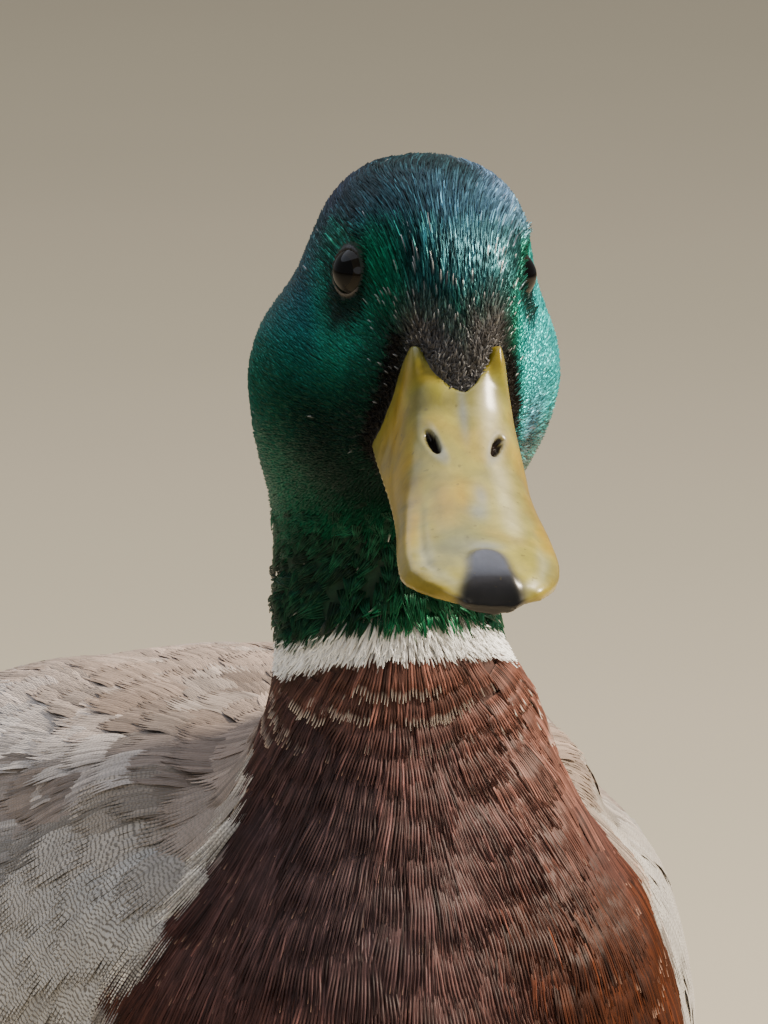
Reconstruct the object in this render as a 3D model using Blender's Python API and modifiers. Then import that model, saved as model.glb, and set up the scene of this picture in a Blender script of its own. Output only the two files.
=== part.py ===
"""A mallard drake, life size, standing still with its head turned a little to its right.

Blender 4.5, metres, +Z up. The bird faces -Y, its left side is at +X, and its soles stand on z = 0.
The plumage is modelled to its outer surface. The body is lofted whole from a few named sections, blended
into one skin, and then parted by thin cuts into head, neck, trunk, thighs and tail. The bill, eyes, wings,
drake curls and legs are separate solids, set into that body with a small gap.
"""

import math

import bmesh
import bpy
import numpy as np
from mathutils import Matrix, Vector

MM = 0.001
GAP = 0.35 * MM  # clearance between neighbouring solids
SIDES = {"left": 1, "right": -1}

# Where the head sits: the middle of the line between the eyes, and how the head is held.
EYE_MIDPOINT = Vector((-1.4, -113.6, 296.5)) * MM
HEAD_YAW = math.radians(-7.0)  # towards the bird's right
HEAD_PITCH = math.radians(4.0)  # bill down
HEAD_ROLL = math.radians(2.3)  # left side down
NECK_Y = -85.0  # mm, axis of the neck at the collar

# Horizontal sections of the head in the head's own frame, in mm from the eye line:
# level, front, back, half width, place of the widest point, half width of the snout, how much the face narrows.
HEAD_SECTIONS = [
    (15.9, -2.0, -13.0, 4.5, -7.5, 3.0, 0.0),
    (14.9, 3.5, -18.5, 8.3, -8.0, 5.0, 0.0),
    (13.0, 9.0, -23.5, 11.2, -8.5, 6.5, 0.15),
    (10.2, 15.0, -28.0, 13.7, -9.5, 7.2, 0.45),
    (6.5, 19.0, -31.7, 15.6, -10.5, 7.8, 0.8),
    (2.0, 22.0, -35.0, 16.9, -12.0, 8.1, 1.0),
    (-2.0, 23.8, -37.0, 17.9, -13.5, 8.3, 1.0),
    (-6.0, 24.6, -38.3, 19.3, -14.5, 8.6, 1.0),
    (-10.0, 23.0, -39.5, 21.1, -16.0, 9.2, 1.0),
    (-14.0, 21.0, -40.3, 22.5, -17.0, 9.9, 1.0),
    (-18.0, 19.0, -41.0, 23.3, -18.0, 10.4, 1.0),
    (-22.0, 17.0, -42.0, 23.4, -19.0, 10.7, 1.0),
    (-26.0, 15.5, -42.8, 22.8, -20.5, 10.8, 0.9),
    (-30.0, 12.0, -43.6, 21.9, -22.0, 10.3, 0.75),
    (-34.0, 6.0, -44.2, 20.5, -23.5, 9.8, 0.45),
    (-38.0, -1.5, -44.4, 19.3, -25.0, 9.5, 0.2),
    (-42.0, -7.0, -44.4, 18.5, -25.7, 9.5, 0.0),
]
# Horizontal sections of neck and breast, in mm: height, front and back of the neck axis, half width.
NECK_SECTIONS = [
    (250.0, -17.6, 18.4, 17.8),
    (243.0, -17.6, 18.0, 17.6),
    (235.0, -17.8, 18.2, 17.9),
    (227.0, -19.5, 20.5, 19.8),
    (219.0, -22.6, 25.0, 23.0),
    (211.0, -26.5, 31.0, 27.0),
    (202.0, -31.5, 37.0, 32.0),
    (192.0, -36.8, 42.0, 37.0),
    (182.0, -41.4, 46.0, 42.0),
    (170.0, -45.6, 50.0, 47.0),
    (156.0, -47.5, 53.0, 50.0),
    (140.0, -44.5, 54.0, 49.0),
    (126.0, -37.0, 52.0, 42.0),
    (114.0, -25.0, 48.0, 32.0),
    (106.0, -12.0, 42.0, 20.0),
]
# Upright sections of the trunk, in mm: y, height of the widest point, top, bottom, half width.
TRUNK_SECTIONS = [
    (-118.0, 158.0, 186.0, 128.0, 25.0),
    (-100.0, 157.0, 206.0, 110.0, 41.5),
    (-70.0, 155.0, 219.0, 94.0, 53.5),
    (-35.0, 153.0, 223.5, 84.0, 62.5),
    (0.0, 151.0, 223.0, 80.5, 67.5),
    (38.0, 149.0, 217.5, 82.0, 68.0),
    (75.0, 149.0, 208.5, 89.0, 63.5),
    (112.0, 151.0, 198.5, 103.0, 52.0),
    (145.0, 153.0, 187.0, 121.0, 39.0),
    (173.0, 156.0, 175.0, 138.0, 28.0),
    (190.0, 157.5, 168.0, 148.0, 19.0),
]
TRUNK_SQUARENESS = 2.2
# The root of the tail with its coverts: y, height, half width, half thickness.
TAIL_SECTIONS = [
    (153.0, 157.0, 31.0, 17.0),
    (173.0, 158.5, 26.0, 12.5),
    (191.0, 161.0, 20.5, 9.0),
    (205.0, 163.3, 14.5, 6.2),
    (215.0, 165.0, 8.0, 3.6),
]
# The fan of the long tail feathers, which comes out of that root.
FAN_SECTIONS = [
    (184.0, 160.2, 13.0, 2.2),
    (195.0, 161.9, 22.0, 2.6),
    (211.0, 164.4, 29.0, 2.3),
    (230.0, 167.3, 32.5, 1.7),
    (244.0, 169.4, 30.0, 1.2),
    (253.0, 170.7, 22.0, 0.9),
    (258.0, 171.4, 11.0, 0.6),
]
# The folded wing: y, lowest and highest angle round the trunk's section in degrees, half thickness.
WING_ROOT = [
    (-80.0, 30.0, 50.0, 1.0),
    (-68.0, 12.0, 64.0, 3.0),
    (-45.0, 2.0, 72.0, 4.4),
    (0.0, -3.0, 77.0, 5.2),
    (47.0, 0.0, 79.0, 5.0),
    (85.0, 7.0, 80.0, 4.4),
    (117.0, 16.0, 80.0, 3.6),
]
# Its tip past the trunk: y, lower edge x and z, upper edge x and z, half thickness.
WING_TIP = [
    (117.0, 51.0, 163.0, 15.5, 200.0, 3.6),
    (146.0, 38.0, 168.5, 12.0, 193.0, 2.6),
    (174.0, 26.5, 173.5, 9.8, 186.5, 1.8),
    (198.0, 18.0, 177.0, 8.8, 182.5, 1.2),
    (213.0, 13.0, 178.7, 8.6, 181.2, 0.8),
    (219.0, 11.0, 179.5, 8.9, 180.8, 0.6),
]
WING_PARTING_Y = 110.0 * MM

# The bill, in mm along its own axis from the gape: distance, height, half width, squareness, taper, channel.
BILL_SECTIONS = [
    (-4.0, 20.6, 10.2, 3.6, 0.22, 0.6),
    (0.0, 20.7, 10.3, 3.6, 0.22, 0.8),
    (4.5, 20.1, 10.4, 3.4, 0.22, 1.0),
    (8.8, 16.0, 10.4, 3.0, 0.2, 1.1),
    (13.0, 13.2, 10.3, 2.7, 0.17, 0.9),
    (18.0, 10.8, 10.3, 2.5, 0.14, 0.5),
    (24.0, 8.7, 10.4, 2.4, 0.1, 0.1),
    (31.0, 7.0, 10.8, 2.4, 0.05, 0.0),
    (38.0, 5.7, 11.6, 2.5, 0.0, 0.0),
    (44.0, 5.0, 12.1, 2.6, 0.0, 0.0),
    (49.0, 4.5, 11.9, 2.6, 0.0, 0.0),
    (52.5, 3.9, 10.3, 2.5, 0.0, 0.0),
    (55.0, 2.9, 7.4, 2.4, 0.0, 0.0),
    (56.3, 1.7, 4.0, 2.2, 0.0, 0.0),
]
GAPE = (15.0, -26.0)  # front and level of the gape in the head's frame
BILL_SLOPE = math.radians(9.6)
BILL_TURN = math.radians(-2.2)  # the bill points a little more to the right than the skull
# The lower mandible: distance, half width, depth.
MANDIBLE_SECTIONS = [
    (-3.0, 8.6, 5.6),
    (4.0, 9.0, 5.4),
    (14.0, 9.0, 4.2),
    (26.0, 9.2, 3.2),
    (38.0, 10.2, 2.5),
    (46.0, 10.6, 2.1),
    (51.0, 8.8, 1.7),
    (53.6, 5.0, 1.2),
]

NOSTRIL = (4.9, 19.5, 10.0)  # mm out, along and above the gape
EYE_CENTRE = (11.5, 0.4, -0.3)  # mm out, forward and up from the midpoint
EYE_RADIUS = 4.4 * MM

# Legs, in mm for the left one; the right one mirrors them.
FOOT_X = 31.0
KNUCKLE = (FOOT_X, 20.0, 6.5)
HOCK = (FOOT_X - 1.0, 37.0, 52.0)
SHANK_TOP = (FOOT_X - 1.0, 31.5, 68.0)
SHANK_PARTING_Z = 10.5 * MM
TOES = {"inner": (-21.0, 39.0), "middle": (4.0, 51.0), "outer": (27.0, 47.0)}  # splay in degrees, length
THIGH_SECTIONS = [
    (68.4, 31.0, 30.0, 7.5),
    (73.0, 29.0, 30.4, 10.0),
    (80.0, 25.5, 31.2, 14.5),
    (90.0, 20.0, 33.0, 20.0),
    (104.0, 14.0, 34.0, 22.0),
]  # z, y, x, radius

ORIGIN_Y = 38.7 * MM  # the model's origin is under the middle of its bounds
BODY_TRIANGLES = 2750
WHOLE_VOXEL = 1.9 * MM
LEG_TRIANGLES = 520
LEG_VOXEL = 0.6 * MM


# ---------------------------------------------------------------- helpers


def clear_scene():
    for obj in list(bpy.data.objects):
        bpy.data.objects.remove(obj, do_unlink=True)


def material(name, colour, roughness, metallic=0.0):
    made = bpy.data.materials.new(name)
    made.use_nodes = True
    shader = made.node_tree.nodes["Principled BSDF"]
    shader.inputs["Base Color"].default_value = (*colour, 1.0)
    shader.inputs["Roughness"].default_value = roughness
    shader.inputs["Metallic"].default_value = metallic
    made.diffuse_color = (*colour, 1.0)
    return made


def object_from(name, bm, collection):
    mesh = bpy.data.meshes.new(name)
    bmesh.ops.recalc_face_normals(bm, faces=bm.faces)
    bm.to_mesh(mesh)
    bm.free()
    obj = bpy.data.objects.new(name, mesh)
    collection.objects.link(obj)
    return obj


def through(rows, places):
    """Rows of a table at new places in its first column, on smooth curves through the rows given."""
    table = np.array(rows, float)
    order = np.argsort(table[:, 0])
    xs, values = table[order, 0], table[order, 1:]
    slopes = np.gradient(values, xs, axis=0)
    found = []
    for place in places:
        i = int(np.clip(np.searchsorted(xs, place) - 1, 0, len(xs) - 2))
        span = xs[i + 1] - xs[i]
        t = (place - xs[i]) / span
        start = (2 * t**3 - 3 * t**2 + 1) * values[i] + (t**3 - 2 * t**2 + t) * span * slopes[i]
        end = (3 * t**2 - 2 * t**3) * values[i + 1] + (t**3 - t**2) * span * slopes[i + 1]
        found.append((place, *(start + end)))
    return found


def loft(rings):
    """A closed bmesh over rings of equally many points, each end closed by a point in its middle."""
    bm = bmesh.new()
    rows = [[bm.verts.new(point) for point in ring] for ring in rings]
    count = len(rows[0])
    for low, high in zip(rows, rows[1:]):
        for i in range(count):
            j = (i + 1) % count
            bm.faces.new((low[i], low[j], high[j], high[i]))
    for row in (rows[0], rows[-1]):
        middle = bm.verts.new(sum((v.co for v in row), Vector()) / count)
        for i in range(count):
            bm.faces.new((row[i], row[(i + 1) % count], middle))
    return bm


def superellipse(angle, power):
    """Cosine and sine of an angle, pushed outwards to a squarer curve as power grows past 2."""
    c, s = math.cos(angle), math.sin(angle)
    return (
        math.copysign(abs(c) ** (2 / power), c),
        math.copysign(abs(s) ** (2 / power), s),
    )


def evaluated_copy(obj, name, collection):
    """A new object with obj's mesh as its modifiers leave it. The old object is removed."""
    bpy.context.view_layer.update()
    graph = bpy.context.evaluated_depsgraph_get()
    mesh = bpy.data.meshes.new_from_object(obj.evaluated_get(graph))
    mesh.transform(obj.matrix_world)
    bpy.data.objects.remove(obj, do_unlink=True)
    made = bpy.data.objects.new(name, mesh)
    collection.objects.link(made)
    return made


def boolean(obj, others, operation, collection):
    """obj joined with the others, or cut by them. The others are removed."""
    for other in others:
        modifier = obj.modifiers.new(operation.lower(), "BOOLEAN")
        modifier.operation = operation
        modifier.object = other
    made = evaluated_copy(obj, obj.name, collection)
    for other in others:
        bpy.data.objects.remove(other, do_unlink=True)
    return made


def melted(obj, others, voxel, triangles, collection):
    """obj and the others run together into one skin of even faces, softened, then thinned out."""
    obj = joined([obj, *others], obj.name, collection)
    remesh = obj.modifiers.new("even", "REMESH")
    remesh.mode = "VOXEL"
    remesh.voxel_size = voxel
    soften = obj.modifiers.new("soften", "SMOOTH")
    soften.factor = 0.5
    soften.iterations = 2
    obj = evaluated_copy(obj, obj.name, collection)
    thinner = obj.modifiers.new("fewer_faces", "DECIMATE")
    thinner.ratio = min(1.0, triangles / (2 * len(obj.data.polygons)))
    return evaluated_copy(obj, obj.name, collection)


def joined(objects, name, collection):
    """The objects' meshes in one new object. The old objects are removed."""
    bm = bmesh.new()
    for obj in objects:
        bm.from_mesh(obj.data)
        bpy.data.objects.remove(obj, do_unlink=True)
    return object_from(name, bm, collection)


def swollen(obj, by, collection):
    """A copy of obj with each point moved out along its normal, for cutting a seat that clears obj."""
    bm = bmesh.new()
    bm.from_mesh(obj.data)
    bm.normal_update()
    for vert in bm.verts:
        vert.co += vert.normal * by
    return object_from(obj.name + "_seat", bm, collection)


def seated(body, pieces, collection):
    """body with a clear seat cut in it for each piece."""
    return boolean(body, [swollen(piece, GAP, collection) for piece in pieces], "DIFFERENCE", collection)


def slab(name, place, tilt, size, collection, roll=0.0):
    """A cutter one gap thick, lying across place, tilted about X and then rolled about Y."""
    bm = bmesh.new()
    bmesh.ops.create_cube(bm, size=1.0)
    bmesh.ops.scale(bm, vec=(size[0], size[1], GAP), verts=bm.verts)
    turned = Matrix.Rotation(roll, 4, "Y") @ Matrix.Rotation(tilt, 4, "X")
    bmesh.ops.transform(bm, matrix=turned, verts=bm.verts)
    bmesh.ops.translate(bm, vec=place, verts=bm.verts)
    return object_from(name, bm, collection)


def islands(obj, anchors, collection):
    """The separate bodies of obj, each named for the anchor that its middle is nearest to."""
    bm = bmesh.new()
    bm.from_mesh(obj.data)
    left, groups = set(bm.verts), []
    while left:
        group, front = set(), [left.pop()]
        while front:
            vert = front.pop()
            group.add(vert)
            for edge in vert.link_edges:
                other = edge.other_vert(vert)
                if other in left:
                    left.remove(other)
                    front.append(other)
        groups.append(group)
    made = {}
    if len(groups) != len(anchors):
        raise ValueError(f"{obj.name} fell into {len(groups)} bodies, not {len(anchors)}")
    for name, anchor in anchors.items():
        middle = {i: sum((v.co for v in g), Vector()) / len(g) for i, g in enumerate(groups)}
        nearest = min(middle, key=lambda i: (middle[i] - anchor).length)
        copy = bm.copy()
        bm.verts.index_update()
        keep = {v.index for v in groups[nearest]}
        copy.verts.ensure_lookup_table()
        bmesh.ops.delete(copy, geom=[v for v in copy.verts if v.index not in keep], context="VERTS")
        made[name] = object_from(name, copy, collection)
    bm.free()
    bpy.data.objects.remove(obj, do_unlink=True)
    return made


def head_frame():
    return (
        Matrix.Translation(EYE_MIDPOINT)
        @ Matrix.Rotation(HEAD_YAW, 4, "Z")
        @ Matrix.Rotation(HEAD_PITCH, 4, "X")
        @ Matrix.Rotation(HEAD_ROLL, 4, "Y")
    )


def in_head(out, forward, up):
    """A point given in mm in the head's frame: towards the bird's left, forward and up from the eye line."""
    return head_frame() @ (Vector((out, -forward, up)) * MM)


def in_bill(out, along, up):
    """A point given in mm in the bill's frame, whose origin is the middle of the gape."""
    c, s = math.cos(BILL_SLOPE), math.sin(BILL_SLOPE)
    forward, level = GAPE[0] + along * c + up * s, GAPE[1] - along * s + up * c
    c, s = math.cos(BILL_TURN), math.sin(BILL_TURN)
    return in_head(out * c + forward * s, forward * c - out * s, level)


# ---------------------------------------------------------------- the body, whole


def head_outline(front, back, width, widest, snout, narrowing):
    """Points (out, forward) round one level of the head: a round back, and a face that narrows to the snout."""
    steps = 13
    right = []
    for i in range(steps):
        t = math.sin(math.pi / 2 * i / (steps - 1))
        oval = width * math.sqrt(max(0.0, 1 - t * t))
        bell = snout * math.sqrt(max(0.0, 1 - t**8)) + (width - snout) * (1 - t**1.35) ** 1.3
        right.append((oval + (bell - oval) * narrowing, widest + (front - widest) * t))
    for i in range(1, steps):
        a = math.pi / 2 * i / (steps - 1)
        right.insert(0, (width * math.cos(a), widest - (widest - back) * math.sin(a)))
    left = [(-x, f) for x, f in reversed(right[1:-1])]
    return right + left


def head_and_neck_rings():
    rings = []
    levels = np.linspace(HEAD_SECTIONS[0][0], HEAD_SECTIONS[-1][0], 34)
    for level, *shape in through(HEAD_SECTIONS, levels):
        rings.append([in_head(x, f, level) for x, f in head_outline(*shape)])
    heights = np.linspace(NECK_SECTIONS[0][0], NECK_SECTIONS[-1][0], 26)
    for height, front, back, width in through(NECK_SECTIONS, heights):
        middle = (front + back) / 2
        outline = head_outline(-front + middle, middle - back, width, 0.0, width / 2, 0.0)
        rings.append([Vector((x, NECK_Y + middle - f, height)) * MM for x, f in outline])
    return rings


def trunk_point(section, angle):
    """A point on a trunk section, with angle 0 at the bird's left side and 90 degrees at its back."""
    y, middle, top, bottom, width = section
    c, s = superellipse(angle, TRUNK_SQUARENESS)
    rise = (top - middle) if s > 0 else (middle - bottom)
    return Vector((width * c, y, middle + rise * s)) * MM


def trunk_rings():
    ys = np.linspace(TRUNK_SECTIONS[0][0], TRUNK_SECTIONS[-1][0], 40)
    angles = [2 * math.pi * i / 48 for i in range(48)]
    return [[trunk_point(section, a) for a in angles] for section in through(TRUNK_SECTIONS, ys)]


def flat_rings(sections, count, around, hang):
    """Rings along +Y for a flat form whose sides hang a little below its middle."""
    rings = []
    for y, height, width, thick in through(sections, np.linspace(sections[0][0], sections[-1][0], count)):
        ring = []
        for i in range(around):
            c, s = superellipse(2 * math.pi * i / around, 2.2)
            arch = hang * (width / 30) * c * c
            ring.append(Vector((width * c, y, height + thick * s - arch)) * MM)
        rings.append(ring)
    return rings


def thigh_rings(side):
    rings = []
    for z, y, x, radius in through(THIGH_SECTIONS, np.linspace(68.4, 104.0, 12)):
        angles = [2 * math.pi * i / 24 for i in range(24)]
        rings.append(
            [
                Vector((side * x + 0.85 * radius * math.cos(a), y + 1.1 * radius * math.sin(a), z)) * MM
                for a in angles
            ]
        )
    return rings


def forehead_wedge(collection):
    """The pointed tongue of feathers that runs down on to the bill between its two horns."""
    bm = bmesh.new()
    bmesh.ops.create_uvsphere(bm, u_segments=20, v_segments=12, radius=1.0)
    bmesh.ops.scale(bm, vec=(6.8 * MM, 7.4 * MM, 2.6 * MM), verts=bm.verts)
    bmesh.ops.transform(bm, matrix=Matrix.Rotation(math.radians(48), 4, "X"), verts=bm.verts)
    bmesh.ops.transform(bm, matrix=head_frame(), verts=bm.verts)
    place = in_head(-0.9, 22.4, -6.9) - EYE_MIDPOINT
    bmesh.ops.translate(bm, vec=place, verts=bm.verts)
    return object_from("forehead_wedge", bm, collection)


def nudge(obj, centre, radius, by):
    """Presses a soft dent, or raises a bump, along the surface's own normals round centre."""
    for vert in obj.data.vertices:
        share = math.exp(-((vert.co - centre).length_squared) / (radius * radius))
        if share > 0.01:
            vert.co += vert.normal * (by * share)


def smooth_near(obj, centre, radius, rounds):
    """Relaxes the points near centre, so that two lofts flow into each other there."""
    bm = bmesh.new()
    bm.from_mesh(obj.data)
    near = [v for v in bm.verts if (v.co - centre).length < radius]
    for _ in range(rounds):
        bmesh.ops.smooth_vert(bm, verts=near, factor=0.5, use_axis_x=True, use_axis_y=True, use_axis_z=True)
    bm.to_mesh(obj.data)
    bm.free()


def whole_body(collection):
    body = object_from("body", loft(trunk_rings()), collection)
    others = [
        object_from("head_and_neck", loft(head_and_neck_rings()), collection),
        object_from("tail_form", loft(flat_rings(TAIL_SECTIONS, 16, 28, 2.0)), collection),
        forehead_wedge(collection),
    ]
    others += [object_from("thigh_form", loft(thigh_rings(side)), collection) for side in SIDES.values()]
    body = boolean(body, others, "UNION", collection)
    remesh = body.modifiers.new("even", "REMESH")
    remesh.mode = "VOXEL"
    remesh.voxel_size = WHOLE_VOXEL
    body = evaluated_copy(body, "body", collection)

    everywhere = body.modifiers.new("soften", "SMOOTH")
    everywhere.factor = 0.5
    everywhere.iterations = 3
    body = evaluated_copy(body, "body", collection)
    for y, z, radius, rounds in ((-50.0, 222.0, 34.0, 60), (-92.0, 108.0, 50.0, 70), (171.0, 160.0, 40.0, 20)):
        smooth_near(body, Vector((0.0, y, z)) * MM, radius * MM, rounds)
    for side in SIDES.values():
        smooth_near(body, Vector((side * 55.0, -75.0, 190.0)) * MM, 36 * MM, 50)
        smooth_near(body, Vector((side * 48.0, -95.0, 140.0)) * MM, 36 * MM, 50)
        smooth_near(body, Vector((side * 33.0, 20.0, 94.0)) * MM, 22 * MM, 25)

    for side in SIDES.values():
        nudge(body, in_head(side * 13.5, 12.5, -5.0), 6.5 * MM, -1.1 * MM)  # lores
        nudge(body, in_head(side * 13.0, 2.0, 7.5), 5.0 * MM, 0.5 * MM)  # brow
        nudge(body, in_head(side * 15.5, 0.0, -9.0), 5.5 * MM, -0.5 * MM)  # under the eye
        nudge(body, in_head(side * 23.0, -12.0, -17.0), 11.0 * MM, 0.9 * MM)  # cheek

    thinner = body.modifiers.new("fewer_faces", "DECIMATE")
    thinner.ratio = min(1.0, BODY_TRIANGLES / (2 * len(body.data.polygons)))
    return evaluated_copy(body, "body", collection)


def parted_body(body, collection):
    """Cuts the whole body with thin slabs and names the pieces."""
    cutters = [
        slab("cut_head", in_head(0, -13.0, -31.0), math.radians(20), (0.08, 0.075), collection),
        slab("cut_neck", Vector((0, NECK_Y - 1.0, 229.0)) * MM, math.radians(16), (0.08, 0.062), collection),
        slab("cut_tail", Vector((0, 176.0, 158.0)) * MM, math.radians(80), (0.1, 0.06), collection),
    ]
    for side in SIDES.values():
        place = Vector((side * 31.5, 25.0, 83.2)) * MM
        cutters.append(slab("cut_thigh", place, 0.0, (0.058, 0.075), collection, math.radians(-9 * side)))
    body = boolean(body, cutters, "DIFFERENCE", collection)
    anchors = {
        "head": in_head(0, -10, -8),
        "neck": Vector((0, NECK_Y, 244.0)) * MM,
        "trunk": Vector((0, 10, 150)) * MM,
        "tail": Vector((0, 196, 162)) * MM,
        "thigh_left": Vector((31, 27, 75)) * MM,
        "thigh_right": Vector((-31, 27, 75)) * MM,
    }
    return islands(body, anchors, collection)


# ---------------------------------------------------------------- bill and eyes


def bill_rings():
    rings = []
    places = list(np.linspace(-4.0, 44.0, 13)) + list(np.linspace(47.0, 56.3, 6))
    for along, height, width, square, taper, channel in through(BILL_SECTIONS, places):
        droop = 1.7 * max(0.0, (along - 45) / 11.3) ** 2  # the nail hooks over
        smile = 0.7 * math.cos(math.pi * min(1.0, max(0.0, along) / 44)) - 0.2
        ring = []
        for i in range(17):
            c, s = superellipse(math.pi * i / 16, square)
            waist = 0.11 * math.sin(math.pi * min(1.0, s)) * float(np.clip((18 - along) / 12, 0, 1))
            out = width * c * (1 - taper * s - waist)
            dip = channel * math.exp(-((out / 2.6) ** 2))
            ring.append(in_bill(out, along, height * s - dip + smile - droop))
        for i in range(1, 5):
            out = -width * math.cos(math.pi * i / 5) * 0.96
            ring.append(in_bill(out, along, smile - droop - 0.15))
        rings.append(ring)
    return rings


def nostril(side, collection):
    """A cutter for the open oval nostril."""
    bm = bmesh.new()
    bmesh.ops.create_uvsphere(bm, u_segments=10, v_segments=7, radius=1.0)
    bmesh.ops.scale(bm, vec=(1.3 * MM, 2.1 * MM, 1.2 * MM), verts=bm.verts)
    bmesh.ops.transform(bm, matrix=head_frame().to_3x3().to_4x4(), verts=bm.verts)
    bmesh.ops.translate(bm, vec=in_bill(side * NOSTRIL[0], NOSTRIL[1], NOSTRIL[2]), verts=bm.verts)
    return object_from("nostril", bm, collection)


def mandible_rings():
    rings = []
    for along, width, depth in through(MANDIBLE_SECTIONS, np.linspace(-3.0, 53.6, 11)):
        droop = 1.7 * max(0.0, (along - 45) / 11.3) ** 2
        smile = 0.7 * math.cos(math.pi * min(1.0, max(0.0, along) / 44)) - 0.2
        top = smile - droop - 0.15 - 0.35
        ring = [in_bill(width * math.cos(math.pi * i / 4), along, top) for i in range(5)]
        for i in range(1, 8):
            c, s = superellipse(math.pi + math.pi * i / 8, 2.4)
            ring.append(in_bill(width * c, along, top + depth * s))
        rings.append(ring)
    return rings


def eye(name, side, collection):
    bm = bmesh.new()
    bmesh.ops.create_uvsphere(bm, u_segments=14, v_segments=8, radius=EYE_RADIUS)
    out, forward, up = EYE_CENTRE
    bmesh.ops.translate(bm, vec=in_head(side * out, forward, up), verts=bm.verts)
    return object_from(name, bm, collection)


# ---------------------------------------------------------------- wings and drake curls


def wing_line(y, side):
    """Points and outward directions across the folded wing at y, from its lower to its upper edge."""
    low, high, thick = through(WING_ROOT, [min(y, WING_ROOT[-1][0])])[0][1:]
    tip = through(WING_TIP, [max(y, WING_TIP[0][0])])[0][1:]
    section = through(TRUNK_SECTIONS, [min(y, 178.0)])[0]
    share = float(np.clip((y - 98.0) / 35.0, 0, 1))
    share = share * share * (3 - 2 * share)
    points = []
    for i in range(15):
        s = i / 14
        on_trunk = trunk_point(section, math.radians(low + (high - low) * s))
        blade_x = tip[0] + (tip[2] - tip[0]) * s + 0.12 * (tip[0] - tip[2]) * math.sin(math.pi * s)
        blade_z = tip[1] + (tip[3] - tip[1]) * s + 0.10 * (tip[0] - tip[2]) * math.sin(math.pi * s)
        on_blade = Vector((blade_x, y, blade_z)) * MM
        points.append(on_trunk.lerp(on_blade, share))
        points[-1].y = y * MM
    thickness = thick * (1 - share) + tip[4] * share
    line = []
    for i, point in enumerate(points):
        run = points[min(i + 1, 14)] - points[max(i - 1, 0)]
        out = Vector((run.z, 0, -run.x)).normalized()
        fade = max(0.12, math.sin(math.pi * i / 14) ** 0.6)
        line.append((point, out, thickness * fade * MM))
    return [(Vector((side * p.x, p.y, p.z)), Vector((side * n.x, 0, n.z)), t) for p, n, t in line]


def wing_rings(side):
    rings = []
    for y in np.concatenate([np.linspace(-80, 117, 26), np.linspace(125, 219, 14)]):
        line = wing_line(float(y), side)
        outer = [p + n * t for p, n, t in line]
        inner = [p - n * t for p, n, t in reversed(line)]
        rings.append(outer + inner)
    return rings


def folded_wing(side_name, side, collection):
    """The arm and coverts as one solid and the long primaries as another, parted by an upright cut."""
    wing = object_from("wing", loft(wing_rings(side)), collection)
    thinner = wing.modifiers.new("fewer_faces", "DECIMATE")
    thinner.ratio = 0.2
    wing = evaluated_copy(wing, "wing", collection)
    place = Vector((side * 0.035, WING_PARTING_Y, 0.185))
    cutter = slab("cut_wing", place, math.radians(90), (0.1, 0.1), collection)
    wing = boolean(wing, [cutter], "DIFFERENCE", collection)
    anchors = {
        "wing_" + side_name: Vector((side * 0.06, 0.02, 0.185)),
        "primaries_" + side_name: Vector((side * 0.025, 0.16, 0.18)),
    }
    return islands(wing, anchors, collection)


def drake_curl(name, side, collection):
    """One of the black plumes that curl up and forward over the base of the drake's tail."""
    rings = []
    turns = 18
    for i in range(turns):
        t = i / (turns - 1)
        if t < 0.3:
            along = t / 0.3
            y, z = 187.0 + 27.0 * along, 168.0 + 10.0 * along * along
            heading = math.atan2(20.0 * along, 27.0)
        else:
            turn = (t - 0.3) / 0.7 * math.radians(245)
            heading = math.atan2(20.0, 27.0) + turn
            radius = 12.5 - 4.0 * (t - 0.3) / 0.7
            y = 214.0 + radius * (math.sin(heading) - math.sin(math.atan2(20.0, 27.0)))
            z = 178.0 + radius * (math.cos(math.atan2(20.0, 27.0)) - math.cos(heading))
        width = 3.1 * (0.55 + 0.45 * math.sin(math.pi * min(1.0, t + 0.25))) * (1 - 0.6 * max(0, t - 0.8) / 0.2)
        up = Vector((0, -math.sin(heading), math.cos(heading)))
        middle = Vector((side * (3.8 + 0.8 * t), y, z))
        ring = []
        for k in range(5):
            c, s = superellipse(2 * math.pi * k / 5, 2.0)
            ring.append((middle + Vector((width * c, 0, 0)) + up * (0.55 * s)) * MM)
        rings.append(ring)
    return object_from(name, loft(rings), collection)


# ---------------------------------------------------------------- legs


def tube(points, collection, name, sides=12):
    """A solid along points, each given as centre, half width across and half depth."""
    rings = []
    for i, (centre, across, deep) in enumerate(points):
        ahead = points[min(i + 1, len(points) - 1)][0] - points[max(i - 1, 0)][0]
        ahead.normalize()
        side = ahead.cross(Vector((0, 0, 1))) if abs(ahead.z) < 0.9 else Vector((1, 0, 0))
        side.normalize()
        up = side.cross(ahead).normalized()
        angles = [2 * math.pi * k / sides for k in range(sides)]
        rings.append([centre + side * (across * math.cos(a)) + up * (deep * math.sin(a)) for a in angles])
    return object_from(name, loft(rings), collection)


def toe(side, splay, length, collection):
    """One toe with its joints, ending in a claw that touches the ground."""
    base = Vector((side * KNUCKLE[0], KNUCKLE[1], 0)) * MM
    way = Vector((side * math.sin(splay), -math.cos(splay), 0))
    points = []
    for i in range(17):
        t = i / 16
        joints = 1 + 0.10 * math.cos(2 * math.pi * 3 * t)
        radius = (2.7 - 1.1 * t) * joints
        if t > 0.87:
            radius = 1.45 * (1 - (t - 0.87) / 0.13) + 0.35
        arch = 1.6 * math.sin(math.pi * min(1, t * 1.15)) * (1 - t)
        height = max(radius * 0.8, 3.6 * (1 - t) ** 2 + radius * 0.8) + arch * 0.5
        points.append((base + way * (length * t * MM) + Vector((0, 0, height * MM)), radius * MM, radius * 0.9 * MM))
    return tube(points, collection, "toe")


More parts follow.
